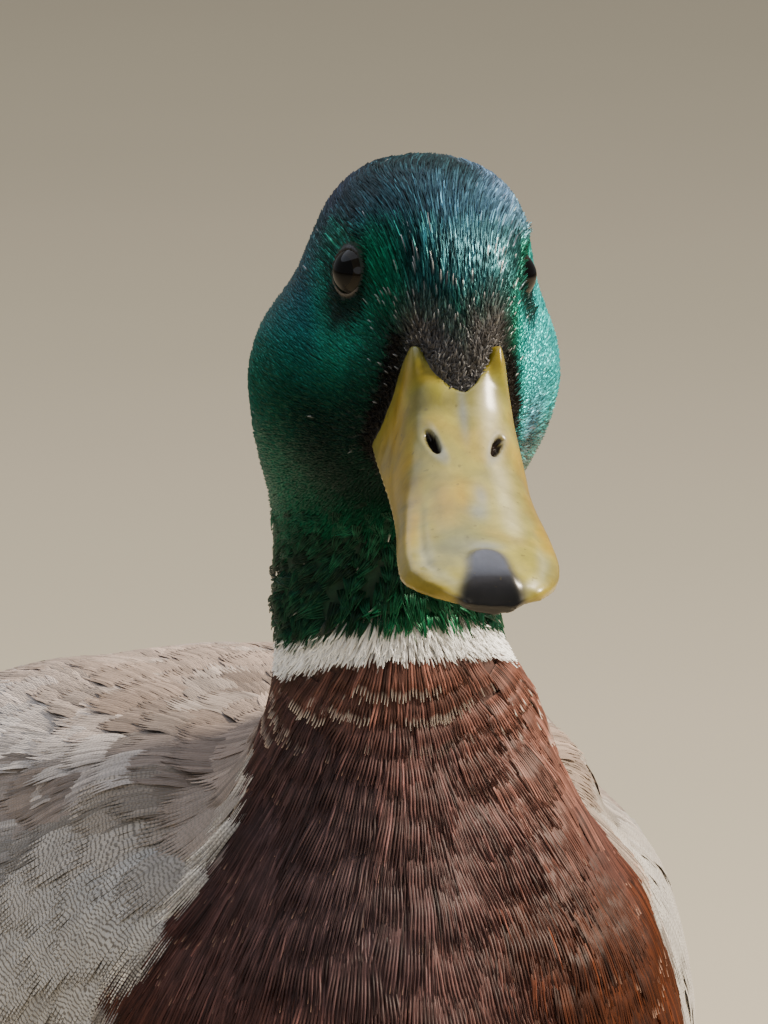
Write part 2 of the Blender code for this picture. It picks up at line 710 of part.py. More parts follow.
def web(side, collection):
    """The skin between the three front toes, its front edge cut back in two shallow scallops."""
    base = Vector((side * KNUCKLE[0], KNUCKLE[1], 0)) * MM
    tips = []
    for splay, length in TOES.values():
        turn = math.radians(splay)
        tips.append(base + Vector((side * math.sin(turn), -math.cos(turn), 0)) * (length * 0.84 * MM))
    outline = [base + Vector((side * -3.0, 1.0, 0)) * MM]
    for tip, following in zip(tips, tips[1:]):
        for i in range(7):
            t = i / 6
            point = tip.lerp(following, t)
            outline.append(point.lerp(base, 0.13 * math.sin(math.pi * t)))
    outline.append(base + Vector((side * 3.0, 1.0, 0)) * MM)
    unique = [p for i, p in enumerate(outline) if i == 0 or (p - outline[i - 1]).length > 1e-6]
    bm = bmesh.new()
    face = bm.faces.new([bm.verts.new(p + Vector((0, 0, -0.5 * MM))) for p in unique])
    grown = bmesh.ops.extrude_face_region(bm, geom=[face])
    raised = [v for v in grown["geom"] if isinstance(v, bmesh.types.BMVert)]
    bmesh.ops.translate(bm, vec=(0, 0, 2.0 * MM), verts=raised)
    bmesh.ops.triangulate(bm, faces=bm.faces)
    return object_from("web", bm, collection)


def leg(side_name, side, collection):
    """Shank and foot as one form, cut level at the soles and parted above the toes."""
    knuckle = Vector((side * KNUCKLE[0], KNUCKLE[1], KNUCKLE[2])) * MM
    hock = Vector((side * HOCK[0], HOCK[1], HOCK[2])) * MM
    top = Vector((side * SHANK_TOP[0], SHANK_TOP[1], SHANK_TOP[2])) * MM
    points = [(knuckle + Vector((0, -1.5 * MM, -3.5 * MM)), 3.2 * MM, 3.6 * MM)]
    for i in range(11):
        t = i / 10
        waist = 1 - 0.28 * math.sin(math.pi * t) ** 0.7
        points.append((knuckle.lerp(hock, t), (3.4 + 0.5 * t) * waist * MM, (4.4 + 0.7 * t) * waist * MM))
    for i in range(1, 6):
        t = i / 5
        points.append((hock.lerp(top, t), (3.9 + 1.6 * t) * MM, (4.9 + 1.2 * t) * MM))
    form = tube(points, collection, "leg_form", 16)
    pieces = [toe(side, math.radians(a), length, collection) for a, length in TOES.values()]
    hind = [
        (knuckle + Vector((side * -1.5, 2.0, 2.5)) * MM, 2.0 * MM, 2.0 * MM),
        (knuckle + Vector((side * -4.0, 6.0, 0.0)) * MM, 1.8 * MM, 1.8 * MM),
        (knuckle + Vector((side * -5.5, 9.5, -3.0)) * MM, 1.4 * MM, 1.4 * MM),
        (knuckle + Vector((side * -6.5, 12.5, -5.4)) * MM, 0.6 * MM, 0.6 * MM),
    ]
    pieces += [tube(hind, collection, "hind_toe"), web(side, collection)]
    form = melted(form, pieces, LEG_VOXEL, LEG_TRIANGLES, collection)

    bm = bmesh.new()
    bmesh.ops.create_cube(bm, size=0.3)
    bmesh.ops.translate(bm, vec=(side * KNUCKLE[0] * MM, 0, -0.15), verts=bm.verts)
    ground = object_from("ground", bm, collection)
    bm = bmesh.new()
    bmesh.ops.create_cube(bm, size=0.1)
    bmesh.ops.translate(bm, vec=(top.x, top.y, 68.05 * MM + 0.05), verts=bm.verts)
    above = object_from("above", bm, collection)
    parting = slab("cut_ankle", Vector((knuckle.x, knuckle.y, SHANK_PARTING_Z)), 0.0, (0.05, 0.05), collection)
    form = boolean(form, [ground, above, parting], "DIFFERENCE", collection)
    anchors = {
        "shank_" + side_name: (knuckle + top) / 2,
        "foot_" + side_name: Vector((side * KNUCKLE[0] * MM, -0.005, 0.002)),
    }
    return islands(form, anchors, collection)


# ---------------------------------------------------------------- the bird


FINISHES = {
    "head": ((0.01, 0.09, 0.06), 0.4, 0.3),
    "neck": ((0.01, 0.08, 0.05), 0.45, 0.3),
    "trunk": ((0.30, 0.22, 0.18), 0.7, 0.0),
    "tail": ((0.02, 0.02, 0.02), 0.6, 0.0),
    "tail_fan": ((0.55, 0.52, 0.47), 0.6, 0.0),
    "thigh": ((0.5, 0.48, 0.45), 0.7, 0.0),
    "wing": ((0.36, 0.32, 0.28), 0.6, 0.0),
    "primaries": ((0.12, 0.09, 0.07), 0.5, 0.0),
    "curl": ((0.01, 0.015, 0.012), 0.35, 0.0),
    "bill": ((0.42, 0.38, 0.09), 0.35, 0.0),
    "bill_lower": ((0.36, 0.28, 0.07), 0.4, 0.0),
    "eye": ((0.03, 0.015, 0.008), 0.05, 0.0),
    "shank": ((0.75, 0.22, 0.03), 0.4, 0.0),
    "foot": ((0.75, 0.22, 0.03), 0.45, 0.0),
}


def main():
    clear_scene()
    drake = bpy.data.collections.new("mallard_drake")
    bpy.context.scene.collection.children.link(drake)

    parts = parted_body(whole_body(drake), drake)
    parts["bill_upper"] = object_from("bill_upper", loft(bill_rings()), drake)
    parts["bill_upper"] = boolean(parts["bill_upper"], [nostril(side, drake) for side in SIDES.values()],
                                  "DIFFERENCE", drake)
    parts["bill_lower"] = object_from("bill_lower", loft(mandible_rings()), drake)
    parts["tail_fan"] = object_from("tail_fan", loft(flat_rings(FAN_SECTIONS, 11, 16, 3.0)), drake)
    for side_name, side in SIDES.items():
        parts["eye_" + side_name] = eye("eye_" + side_name, side, drake)
        parts["curl_" + side_name] = drake_curl("curl_" + side_name, side, drake)
        parts.update(folded_wing(side_name, side, drake))
        parts.update(leg(side_name, side, drake))

    on_head = [parts[n] for n in ("bill_upper", "bill_lower", "eye_left", "eye_right")]
    on_trunk = [parts[n] for n in ("wing_left", "wing_right", "primaries_left", "primaries_right")]
    on_tail = [parts[n] for n in ("curl_left", "curl_right", "tail_fan")]
    parts["head"] = seated(parts["head"], on_head, drake)
    parts["trunk"] = seated(parts["trunk"], on_trunk, drake)
    parts["tail"] = seated(parts["tail"], on_tail, drake)

    for name, obj in parts.items():
        obj.data.transform(Matrix.Translation((0, -ORIGIN_Y, 0)))
        kind = name if name in FINISHES else name.split("_")[0]
        obj.data.materials.clear()
        obj.data.materials.append(bpy.data.materials.get(kind) or material(kind, *FINISHES[kind]))
        obj.data.shade_smooth()
        obj.data.set_sharp_from_angle(angle=math.radians(50))


main()
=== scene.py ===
import heapq
import math
import bmesh
import bpy
import numpy as np
from mathutils import noise, Matrix, Vector
from mathutils.bvhtree import BVHTree


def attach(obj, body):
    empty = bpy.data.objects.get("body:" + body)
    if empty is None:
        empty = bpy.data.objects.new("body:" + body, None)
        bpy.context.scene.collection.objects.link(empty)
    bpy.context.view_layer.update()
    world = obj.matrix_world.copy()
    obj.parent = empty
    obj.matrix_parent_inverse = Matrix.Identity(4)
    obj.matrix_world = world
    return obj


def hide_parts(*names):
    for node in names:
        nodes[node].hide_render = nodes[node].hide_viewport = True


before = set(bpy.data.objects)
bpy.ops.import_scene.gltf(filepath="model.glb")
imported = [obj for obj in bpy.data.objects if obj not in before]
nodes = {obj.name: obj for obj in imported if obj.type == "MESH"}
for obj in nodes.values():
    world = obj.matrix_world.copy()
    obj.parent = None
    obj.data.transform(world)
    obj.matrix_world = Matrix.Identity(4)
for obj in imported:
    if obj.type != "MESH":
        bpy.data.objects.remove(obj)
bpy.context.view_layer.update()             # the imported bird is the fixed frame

mm = 0.001
sides = {"left": 1, "right": -1}

pose = {                      # how the head is carried, as in the solids, in mm and degrees
    "eyeMidpoint": (-1.4, -152.3, 296.5), "yaw": -7.0, "pitch": 4.0, "roll": 2.3,
    "gape": (15.0, -26.0), "billSlope": 9.6, "billTurn": -2.2,
    "eyeCentre": (11.5, 0.4, -0.3), "eyeRadius": 4.4, "eyeAxis": (0.86, 0.47, 0.12),
}


# shared helpers

def linear(code):             # sRGB hex to linear
    parts = [int(code[i:i + 2], 16) / 255 for i in (1, 3, 5)]
    return np.array([c / 12.92 if c <= 0.04045 else ((c + 0.055) / 1.055) ** 2.4 for c in parts])


def rgba(code):
    return (*linear(code), 1.0)


def smooth(low, high, x):     # 0 at low, 1 at high, and eased in between
    t = np.clip((np.asarray(x, float) - low) / (high - low), 0, 1)
    return t * t * (3 - 2 * t)


def bell(x, middle, width):   # 1 at the middle, fading alike to both sides
    return np.exp(-((x - middle) / width) ** 2)


def unit(v):
    return v / np.maximum(np.linalg.norm(v, axis=-1, keepdims=True), 1e-12)


def painted(base, layers, plan={}):       # each layer is a colour, or its name in the plan, and a mask
    colour = linear(plan.get(base, base)) if isinstance(base, str) else base
    for code, mask in layers:
        colour = colour + (linear(plan.get(code, code)) - colour) * np.asarray(mask)[..., None]
    return colour


def setNode(tree, node, settings):        # a value may be a socket, or a node for its first output
    for key, value in settings.items():
        if not isinstance(key, int) and key not in node.inputs:
            setattr(node, key, value)
        elif isinstance(value, bpy.types.Node):
            tree.links.new(value.outputs[0], node.inputs[key])
        elif isinstance(value, bpy.types.NodeSocket):
            tree.links.new(value, node.inputs[key])
        else:
            node.inputs[key].default_value = rgba(value) if isinstance(value, str) else value
    return node


def addNode(tree, kind, settings):
    return setNode(tree, tree.nodes.new("ShaderNode" + kind), settings)


def newMaterial(name):        # with its tree and the places on the object
    material = bpy.data.materials.new(name)
    material.use_nodes = True
    tree = material.node_tree
    return material, tree, addNode(tree, "TexCoord", {}).outputs["Object"]


def finishShader(tree, settings):
    setNode(tree, tree.nodes["Principled BSDF"], settings)


def place(name, mesh, material, cadNodes=()):
    piece = bpy.data.objects.new(name, mesh)
    bpy.context.scene.collection.objects.link(piece)
    for one in material if isinstance(material, list) else [material]:
        mesh.materials.append(one)
    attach(piece, "root")
    if cadNodes:
        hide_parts(*cadNodes)
    return piece


def keep(name, bm, material, cadNodes=()):
    mesh = meshOf(bm)
    mesh.name = name
    bm.free()
    mesh.polygons.foreach_set("use_smooth", [True] * len(mesh.polygons))
    return place(name, mesh, material, cadNodes)


def meshOf(bm):
    mesh = bpy.data.meshes.new("scratch")
    bm.to_mesh(mesh)
    return mesh


def solidCopy(names, swell):  # the named solids, merged into one bmesh and grown a little so that they meet
    whole = bmesh.new()
    for name in names:
        part = bmesh.new()
        part.from_mesh(nodes[name].data)
        bmesh.ops.remove_doubles(part, verts=part.verts, dist=2e-6)
        part.normal_update()
        for v in part.verts:
            v.co += v.normal * swell
        mesh = meshOf(part)
        whole.from_mesh(mesh)
        bpy.data.meshes.remove(mesh)
        part.free()
    return whole


def remeshed(bm, voxel):      # one closed even skin round whatever bm holds
    helper = bpy.data.objects.new("helper", meshOf(bm))
    bm.free()
    bpy.context.scene.collection.objects.link(helper)
    modifier = helper.modifiers.new("remesh", "REMESH")
    modifier.mode, modifier.voxel_size = "VOXEL", voxel
    graph = bpy.context.evaluated_depsgraph_get()
    result = bmesh.new()
    result.from_mesh(helper.evaluated_get(graph).to_mesh())
    mesh = helper.data
    bpy.data.objects.remove(helper)
    bpy.data.meshes.remove(mesh)
    return result


def relax(bm, verts, rounds, factor=0.5):
    for _ in range(rounds):
        bmesh.ops.smooth_vert(bm, verts=verts, factor=factor, use_axis_x=True, use_axis_y=True,
                              use_axis_z=True)


def vertexArray(bm):
    return np.array([v.co[:] for v in bm.verts])


def normalArray(bm):
    return np.array([v.normal[:] for v in bm.verts])


def setVertices(bm, points):
    for v, p in zip(bm.verts, points):
        v.co = p


def push(way, far):           # a shift along way for each place, far in mm
    return way * (far * mm)[:, None]


def closeHoles(bm):
    bmesh.ops.holes_fill(bm, edges=[e for e in bm.edges if e.is_boundary], sides=0)
    bmesh.ops.triangulate(bm, faces=[f for f in bm.faces if len(f.verts) > 4])


def paintTint(mesh, colour, alpha=1.0):   # one linear colour for each vertex
    values = np.empty((len(mesh.vertices), 4), np.float32)
    values[:, :3], values[:, 3] = colour, alpha
    mesh.color_attributes.new("tint", "FLOAT_COLOR", "POINT").data.foreach_set("color", values.ravel())


headFrame = Matrix.Translation(Vector(pose["eyeMidpoint"]) * mm)
for name, axis in (("yaw", "Z"), ("pitch", "X"), ("roll", "Y")):
    headFrame = headFrame @ Matrix.Rotation(math.radians(pose[name]), 4, axis)
headBack = np.array(headFrame.inverted())


def toHead(points):           # metres to out, forward and up from the eye line, in mm
    local = points @ headBack[:3, :3].T + headBack[:3, 3]
    return local * (1000, -1000, 1000)


def inHead(out, forward, up):
    return headFrame @ (Vector((out, -forward, up)) * mm)


def headWay(out, forward, up):            # a direction given in the head's own axes
    return np.array((inHead(out, forward, up) - inHead(0, 0, 0)).normalized())


def turned(x, y, degrees):    # x and y after a turn in their plane
    c, s = math.cos(math.radians(degrees)), math.sin(math.radians(degrees))
    return x * c - y * s, x * s + y * c


def toBill(points):           # out, along and above the middle of the gape, in mm
    h = toHead(points)
    out, forward = turned(h[:, 0], h[:, 1], pose["billTurn"])
    return out, *turned(forward - pose["gape"][0], h[:, 2] - pose["gape"][1], pose["billSlope"])


def fromBillPlace(out, a, lift):          # the way back from out, along and above the gape
    forward, up = turned(a, lift, -pose["billSlope"])
    out, forward = turned(out, forward + pose["gape"][0], -pose["billTurn"])
    return inHead(out, forward, up + pose["gape"][1])


# camera, light and stage

view = {"azimuth": -17.0, "elevation": 8.0, "distance": 2.4, "ring": (0, -0.1237, 0.235),
        "across": -0.00076, "above": 0.021, "lens": 555}

lamps = {                     # place, aim, size in metres, watts, colour
    "sunSide": ((1.15, -0.6, 1.45), (0, -0.05, 0.2), 0.42, 88, "#fff0da"),
    "skyTop": ((-0.3, 0.5, 1.9), (0, 0, 0.2), 2.6, 26, "#e6eeff"),
    "fillFront": ((-1.0, -2.1, 0.9), (0, 0, 0.2), 1.2, 5, "#eef3ff"),
}


def makeStage():
    a, e = math.radians(view["azimuth"]), math.radians(view["elevation"])
    look = Vector((-math.sin(a) * math.cos(e), math.cos(a) * math.cos(e), -math.sin(e)))
    right = Vector((math.cos(a), math.sin(a), 0))
    aim = Vector(view["ring"]) + right * view["across"] + right.cross(look) * view["above"]
    scene = bpy.context.scene
    camera = bpy.data.objects.new("camera", bpy.data.cameras.new("camera"))
    camera.location = aim - look * view["distance"]
    camera.rotation_euler = look.to_track_quat("-Z", "Y").to_euler()
    camera.data.lens, camera.data.clip_end = view["lens"], 100
    scene.collection.objects.link(camera)
    scene.camera = camera

    for name, (spot, target, size, watts, colour) in lamps.items():
        lamp = bpy.data.lights.new(name, "AREA")
        lamp.shape, lamp.size, lamp.energy, lamp.color = "DISK", size, watts, linear(colour)
        holder = bpy.data.objects.new(name, lamp)
        holder.location = spot
        holder.rotation_euler = (Vector(target) - Vector(spot)).to_track_quat("-Z", "Y").to_euler()
        holder.visible_camera = False
        scene.collection.objects.link(holder)

    scene.world = bpy.data.worlds.new("studioAir")
    scene.world.use_nodes = True
    air = scene.world.node_tree
    setNode(air, air.nodes["Background"], {"Color": "#dfe1e0", "Strength": 0.42})

    # rolled matt paint: an even pale ground
    board, tree, where = newMaterial("matt painted board")
    grain = addNode(tree, "TexNoise", {"Scale": 2.5, "Vector": where})
    tone = addNode(tree, "Mix", {"data_type": "RGBA", 0: grain, 6: "#cabea5", 7: "#d5c8ae"})
    finishShader(tree, {"Roughness": 0.9, "Base Color": tone.outputs[2]})
    bm = bmesh.new()
    bmesh.ops.create_grid(bm, x_segments=8, y_segments=8, size=60)
    floor = bpy.data.objects.new("floor", meshOf(bm))
    bm.free()
    floor.data.materials.append(board)
    scene.collection.objects.link(floor)


makeStage()
print("stage ready")


# bill, made first because the coat grows away from it

billPlan = {                  # in mm; nostril and opening: out, along, then half sizes or height
    "voxel": 0.36, "lowerVoxel": 0.5, "rounds": 9, "middle": 0.4,
    "nostril": (4.75, 18.0, 2.6, 0.74), "opening": (4.9, 19.5, 10.0), "openingSize": (1.3, 2.1, 1.2),
    "along": (-4, 0, 9, 18, 24, 31, 38, 44, 49, 52.5, 55, 56.3),
    "halfWidth": (10.2, 10.3, 10.4, 10.3, 10.4, 10.8, 11.6, 12.1, 11.9, 10.3, 7.4, 4),
    "foreheadOut": (-7.4, -6.9, -5.4, -3.5, -1.2, 0.9, 2.6, 4.6, 6.4, 7.6, 8.2),
    "foreheadEnd": (-0.6, 0.9, 3.9, 6.6, 8.6, 9.5, 8.4, 5.4, 2.4, 0.4, -0.6),
    "horn": "#8d8434", "straw": "#968e3a", "amber": "#9a7c06", "tan": "#94783a", "olive": "#66661f",
    "paintedRimHighlight": "#b4b59c",
    "slate": "#444651", "nailBlack": "#080707", "nostrilShade": "#120b07", "rim": "#83701f",
    "blueGrey": "#7d8486",
    "smoke": "#6d6b44", "moss": "#6b6d4f", "pale": "#c2bda0", "bone": "#cfc8a0", "ring": "#6b6a5c",
    "lower": "#bdb084",
}


def nostrilRing(out, a):      # 1 on the edge of the nostril, 0 at its middle
    away, middle, long, wide = billPlan["nostril"]
    across = np.abs(out) - away + 0.28 * (a - middle)
    return np.hypot((a - middle) / long, across / np.where(out > 0, 0.75 * wide, wide))


def nailRing(out, a):         # 1 on the edge of the nail, which widens towards the tip
    half = np.interp(a, (48, 52, 55, 57), (2.7, 3.2, 4.1, 4.7))
    return np.hypot(out / half, np.clip((49.2 - a) / 3.6, 0, None))


def hornMaterial():
    # keratin sheath grown over bone: satin, faintly waxy, mottled and nicked
    horn, tree, where = newMaterial("bill horn")
    tint = addNode(tree, "Attribute", {"attribute_name": "tint"})
    mottle = addNode(tree, "TexNoise", {"Scale": 200.0, "Detail": 5.0, "Roughness": 0.6, "Distortion": 0.4,
                                        "Vector": where})
    spots = addNode(tree, "TexNoise", {"Scale": 800.0, "Vector": where})
    tone = addNode(tree, "MapRange", {"From Min": 0.3, "From Max": 0.7, "To Min": 0.66, "To Max": 1.2,
                                      "Value": mottle})
    base = addNode(tree, "Mix", {"data_type": "RGBA", "blend_type": "MULTIPLY", 0: 1.0, 6: tint, 7: tone})
    nick = addNode(tree, "MapRange", {"From Min": 0.68, "From Max": 0.74, "Value": spots})
    nick = addNode(tree, "Math", {"operation": "MULTIPLY", 0: nick, 1: 0.45})
    nicked = addNode(tree, "Mix", {"data_type": "RGBA", 0: nick, 6: base.outputs[2], 7: "#4f4726"})
    rough = addNode(tree, "MapRange", {"To Min": 0.24, "To Max": 0.42, "Value": mottle})
    bump = addNode(tree, "Bump", {"Strength": 0.3, "Distance": 0.0003, "Height": mottle})
    finishShader(tree, {"Base Color": nicked.outputs[2], "Roughness": rough, "Normal": bump,
                        "Coat Weight": 0.6,
                        "Coat Roughness": 0.24, "Specular IOR Level": 0.12, "Subsurface Weight": 0.04,
                        "Subsurface Radius": (0.001, 0.0008, 0.0004)})
    return horn


def liningMaterial():
    # matt damp skin, painted near black for the shade deep inside the nostril
    lining, tree, where = newMaterial("nostril lining")
    shade = addNode(tree, "TexNoise", {"Scale": 700.0, "Vector": where})
    tone = addNode(tree, "Mix", {"data_type": "RGBA", 0: shade, 6: "#0b0705", 7: "#1d120c"})
    finishShader(tree, {"Base Color": tone.outputs[2], "Roughness": 0.9, "Specular IOR Level": 0.1})
    return lining


def makeUpperBill(horn):
    bm = solidCopy(["bill_upper"], 0)
    out, a, lift = billPlan["opening"]
    around = toHead(np.array([fromBillPlace(side * out, a, lift) for side in (1, -1)]))
    centres = toHead(np.array([f.calc_center_median()[:] for f in bm.faces]))
    gaps = np.linalg.norm((centres - around[:, None]) / billPlan["openingSize"], axis=2).min(0)
    coarse = [f for f, gap in zip(bm.faces[:], gaps) if gap < 1.06]
    bmesh.ops.delete(bm, geom=coarse, context="FACES")    # a finer opening is sunk in its place
    closeHoles(bm)
    bm = remeshed(bm, billPlan["voxel"] * mm)
    relax(bm, bm.verts, billPlan["rounds"])
    bm.normal_update()
    points, normals = vertexArray(bm), normalArray(bm)
    sideways, ahead, above = headWay(1, 0, 0), headWay(0, 1, 0), headWay(0, 0, 1)
    upward = normals @ above
    out, a, lift = toBill(points)
    out = out - billPlan["middle"] * smooth(0, 12, a)
    edge = np.interp(a, billPlan["along"], billPlan["halfWidth"]) - np.abs(out)
    top = smooth(-0.1, 0.35, upward)
    tip = a - 0.5 * lift
    nail, oval = nailRing(out, a), nostrilRing(out, a)
    relief = (
        # the nail stands proud
        0.35 * smooth(1.2, 0.85, nail) * smooth(-0.7, 0.0, upward + 0.5 * smooth(54, 56, a))
        # hollow inside the rolled rim
        - 0.35 * bell(edge, 2.8, 0.9) * smooth(24, 34, a) * smooth(54, 48, a)
        + 0.3 * bell(edge, 0.9, 0.8) * smooth(18, 34, a)
        - 0.3 * bell(np.abs(out), 6.4, 1.4) * smooth(22, 28, a) * smooth(46, 34, a)
        + 0.08 * bell(oval, 1.6, 0.5)     # swollen lip round the nostril
        - 1.5 * smooth(1.05, 0.55, oval))
    moved = points + push(normals, relief * top)
    # the forehead's feathers come down to a point between two sharp horns
    inner = np.interp(out, billPlan["foreheadOut"], billPlan["foreheadEnd"])
    moved -= push(normals, 2.2 * smooth(0.35, -0.3, a - inner) * smooth(11.5, 13.5, lift))
    limit = np.interp(lift, (1.2, 5, 9, 13, 18), (10.3, 9.2, 8.3, 7.7, 7.1)) + 1.2 * (out > 0)
    past = np.clip(np.abs(out) - limit, 0, None) * np.sign(out)
    moved -= push(sideways, past * smooth(7, 2, a) * smooth(0.6, 2.4, lift))
    peaks = (1.7 * np.clip(1 - np.abs(out + 6.4) / 1.7, 0, 1)
             + 2.1 * np.clip(1 - np.abs(out - 5.9) / 1.3, 0, 1))
    moved += push(ahead * 0.3 + above, peaks * smooth(8.5, 5.5, a) * smooth(13, 15.5, lift))
    moved += push(sideways, 0.6 * smooth(3, 7, out) * smooth(22, 10, a)
                  + 0.75 * smooth(3, 8, out) * smooth(44, 30, a) * smooth(-1, 3, a)
                  - 0.9 * smooth(6, 11, out) * smooth(41, 50, a))
    moved += push(above, smooth(46, 56, a) * (1.0 + 0.5 * smooth(0.4, -0.4, upward)))
    moved -= push(above, 1.1 * np.clip(1 - (out / 4.8) ** 2, 0, 1) * smooth(52, 56, tip))
    setVertices(bm, moved)
    relax(bm, bm.verts, 1)

    cloud, haze = (np.array([noise.noise(Vector(p) * scale) for p in points]) for scale in (170, 330))
    wave = np.sin(a * 0.9 + out * 0.7) * np.sin(out * 1.3 - a * 0.35)
    towards = smooth(0.8, -0.8, np.abs(out) - billPlan["nostril"][0])
    blackened = np.maximum(smooth(47.5, 56.0, tip), smooth(0.2, -0.3, upward) * smooth(51, 53.5, a))
    colour = painted("horn", [
        ("straw", 0.8 * smooth(20, 34, a) * smooth(1.0, 4.0, edge) + 0.12 * wave),
        ("olive", 0.75 * smooth(17, 5, a) * smooth(2.0, 4.5, edge + 0.3 * wave)),
        ("amber", 0.85 * smooth(4.4, 1.2, edge + 0.6 * wave) * smooth(-2, 6, a) * smooth(47, 36, a)),
        ("tan", 0.6 * bell(a, 31, 6) * bell(out, -4.4, 2.2)),
        ("amber", 0.7 * bell(a, 31, 4.5) * bell(out, -1.7, 1.0)),
        ("olive", 0.5 * bell(a, 41, 3.5) * bell(out, -1.5, 3.5)),
        ("amber", 0.35 * smooth(-0.1, 0.5, cloud + 0.25 * haze) * smooth(46, 40, a)),
        ("smoke", 0.4 * smooth(0.1, -0.5, cloud - 0.25 * haze)),
        ("moss", 0.75 * bell(a, 44, 6.5) * bell(out, -4.5, 4.5)),
        # pale band along the ridge, right of the middle: a painted highlight
        ("pale", 0.5 * bell(out - 0.04 * a, 3.4, 1.5) * smooth(6, 12, a) * smooth(46, 36, a)),
        *(("blueGrey", 0.6 * bell(a, middle, size) * bell(out, aside, width))
          for middle, size, aside, width in ((30.5, 3.0, 1.2, 1.1), (34.5, 2.2, 0.4, 1.4),
                                             (13, 4.5, 0.3, 0.7), (44.5, 1.6, 0.4, 2.4))),
        # whitish band just inside the rolled rim near the tip: a painted highlight
        ("paintedRimHighlight", 0.32 * bell(edge - 0.3 * wave, 3.0, 1.1) * smooth(39, 47, a)),
        ("rim", 0.75 * smooth(2.2, 0.2, edge) * smooth(26, 40, a)),
        ("amber", 0.6 * smooth(2.6, 1.2, edge) * smooth(2, 5, out) * smooth(14, 20, a) * smooth(44, 38, a)),
        ("bone", 0.7 * smooth(0.1, -0.5, upward) * smooth(1.6, 0.5, lift) * smooth(30, 20, a)),
        ("blueGrey", (0.1 + 0.45 * towards) * smooth(2.4, 1.2, oval + 0.15 * wave) * top),
        ("ring", 0.55 * bell(oval, 1.1, 0.12) * top),
        # near black inside the nostril: painted shade
        ("nostrilShade", smooth(1.0, 0.85, oval) * top),
        ("slate", smooth(1.5, 0.7, nail) * smooth(-0.7, 0.1, upward + 0.6 * smooth(53, 56, a))),
        ("nailBlack", smooth(1.45, 0.85, nail) * blackened)], billPlan)
    sunk = (oval < 0.72) & (top > 0.3)
    for f in bm.faces:
        f.material_index = int(all(sunk[v.index] for v in f.verts))
    upper = keep("upperBill", bm, [horn, liningMaterial()], ["bill_upper"])
    paintTint(upper.data, colour)
    return upper


def makeLowerBill(horn):
    bm = remeshed(solidCopy(["bill_lower"], 0), billPlan["lowerVoxel"] * mm)
    relax(bm, bm.verts, 4)
    points = vertexArray(bm)
    out, a, lift = toBill(points)
    points += push(headWay(0, 0, 1), 1.7 * smooth(43, 54, a))
    outwards = np.sign(out) * smooth(5, 8, np.abs(out)) * smooth(34, 26, a) * smooth(2, 5, a)
    setVertices(bm, points + push(headWay(1, 0, 0), 0.5 * outwards))
    lower = keep("lowerBill", bm, horn, ["bill_lower"])
    paintTint(lower.data, painted("lower", [("rim", 0.8 * smooth(30, 40, a)),
                                            ("nailBlack", smooth(49.5, 51.5, a))], billPlan))
    return lower


horn = hornMaterial()
bothBills = bmesh.new()
for half in (makeUpperBill(horn), makeLowerBill(horn)):
    bothBills.from_mesh(half.data)
billTree = BVHTree.FromBMesh(bothBills)
print("bill ready")


# the skin, one closed form under every feather

skinPlan = {"swell": 0.45, "voxel": 1.5, "rounds": 5, "bodyRounds": 14,
            "faceDepth": 0.8, "neckDepth": 2.0, "bodyDepth": 2.8, "thighDepth": 1.6, "billCut": 9.0}
flesh = ["head", "neck", "trunk", "tail", "thigh_left", "thigh_right", "wing_left", "wing_right"]


# height in mm over the white collar's middle, which dips and rises round the neck
def aboveCollar(p):
    y = p[:, 1]
    return p[:, 2] - 233.0 - 4.2 * smooth(-124, -141, y) - 1.5 * smooth(-124, -106, y)


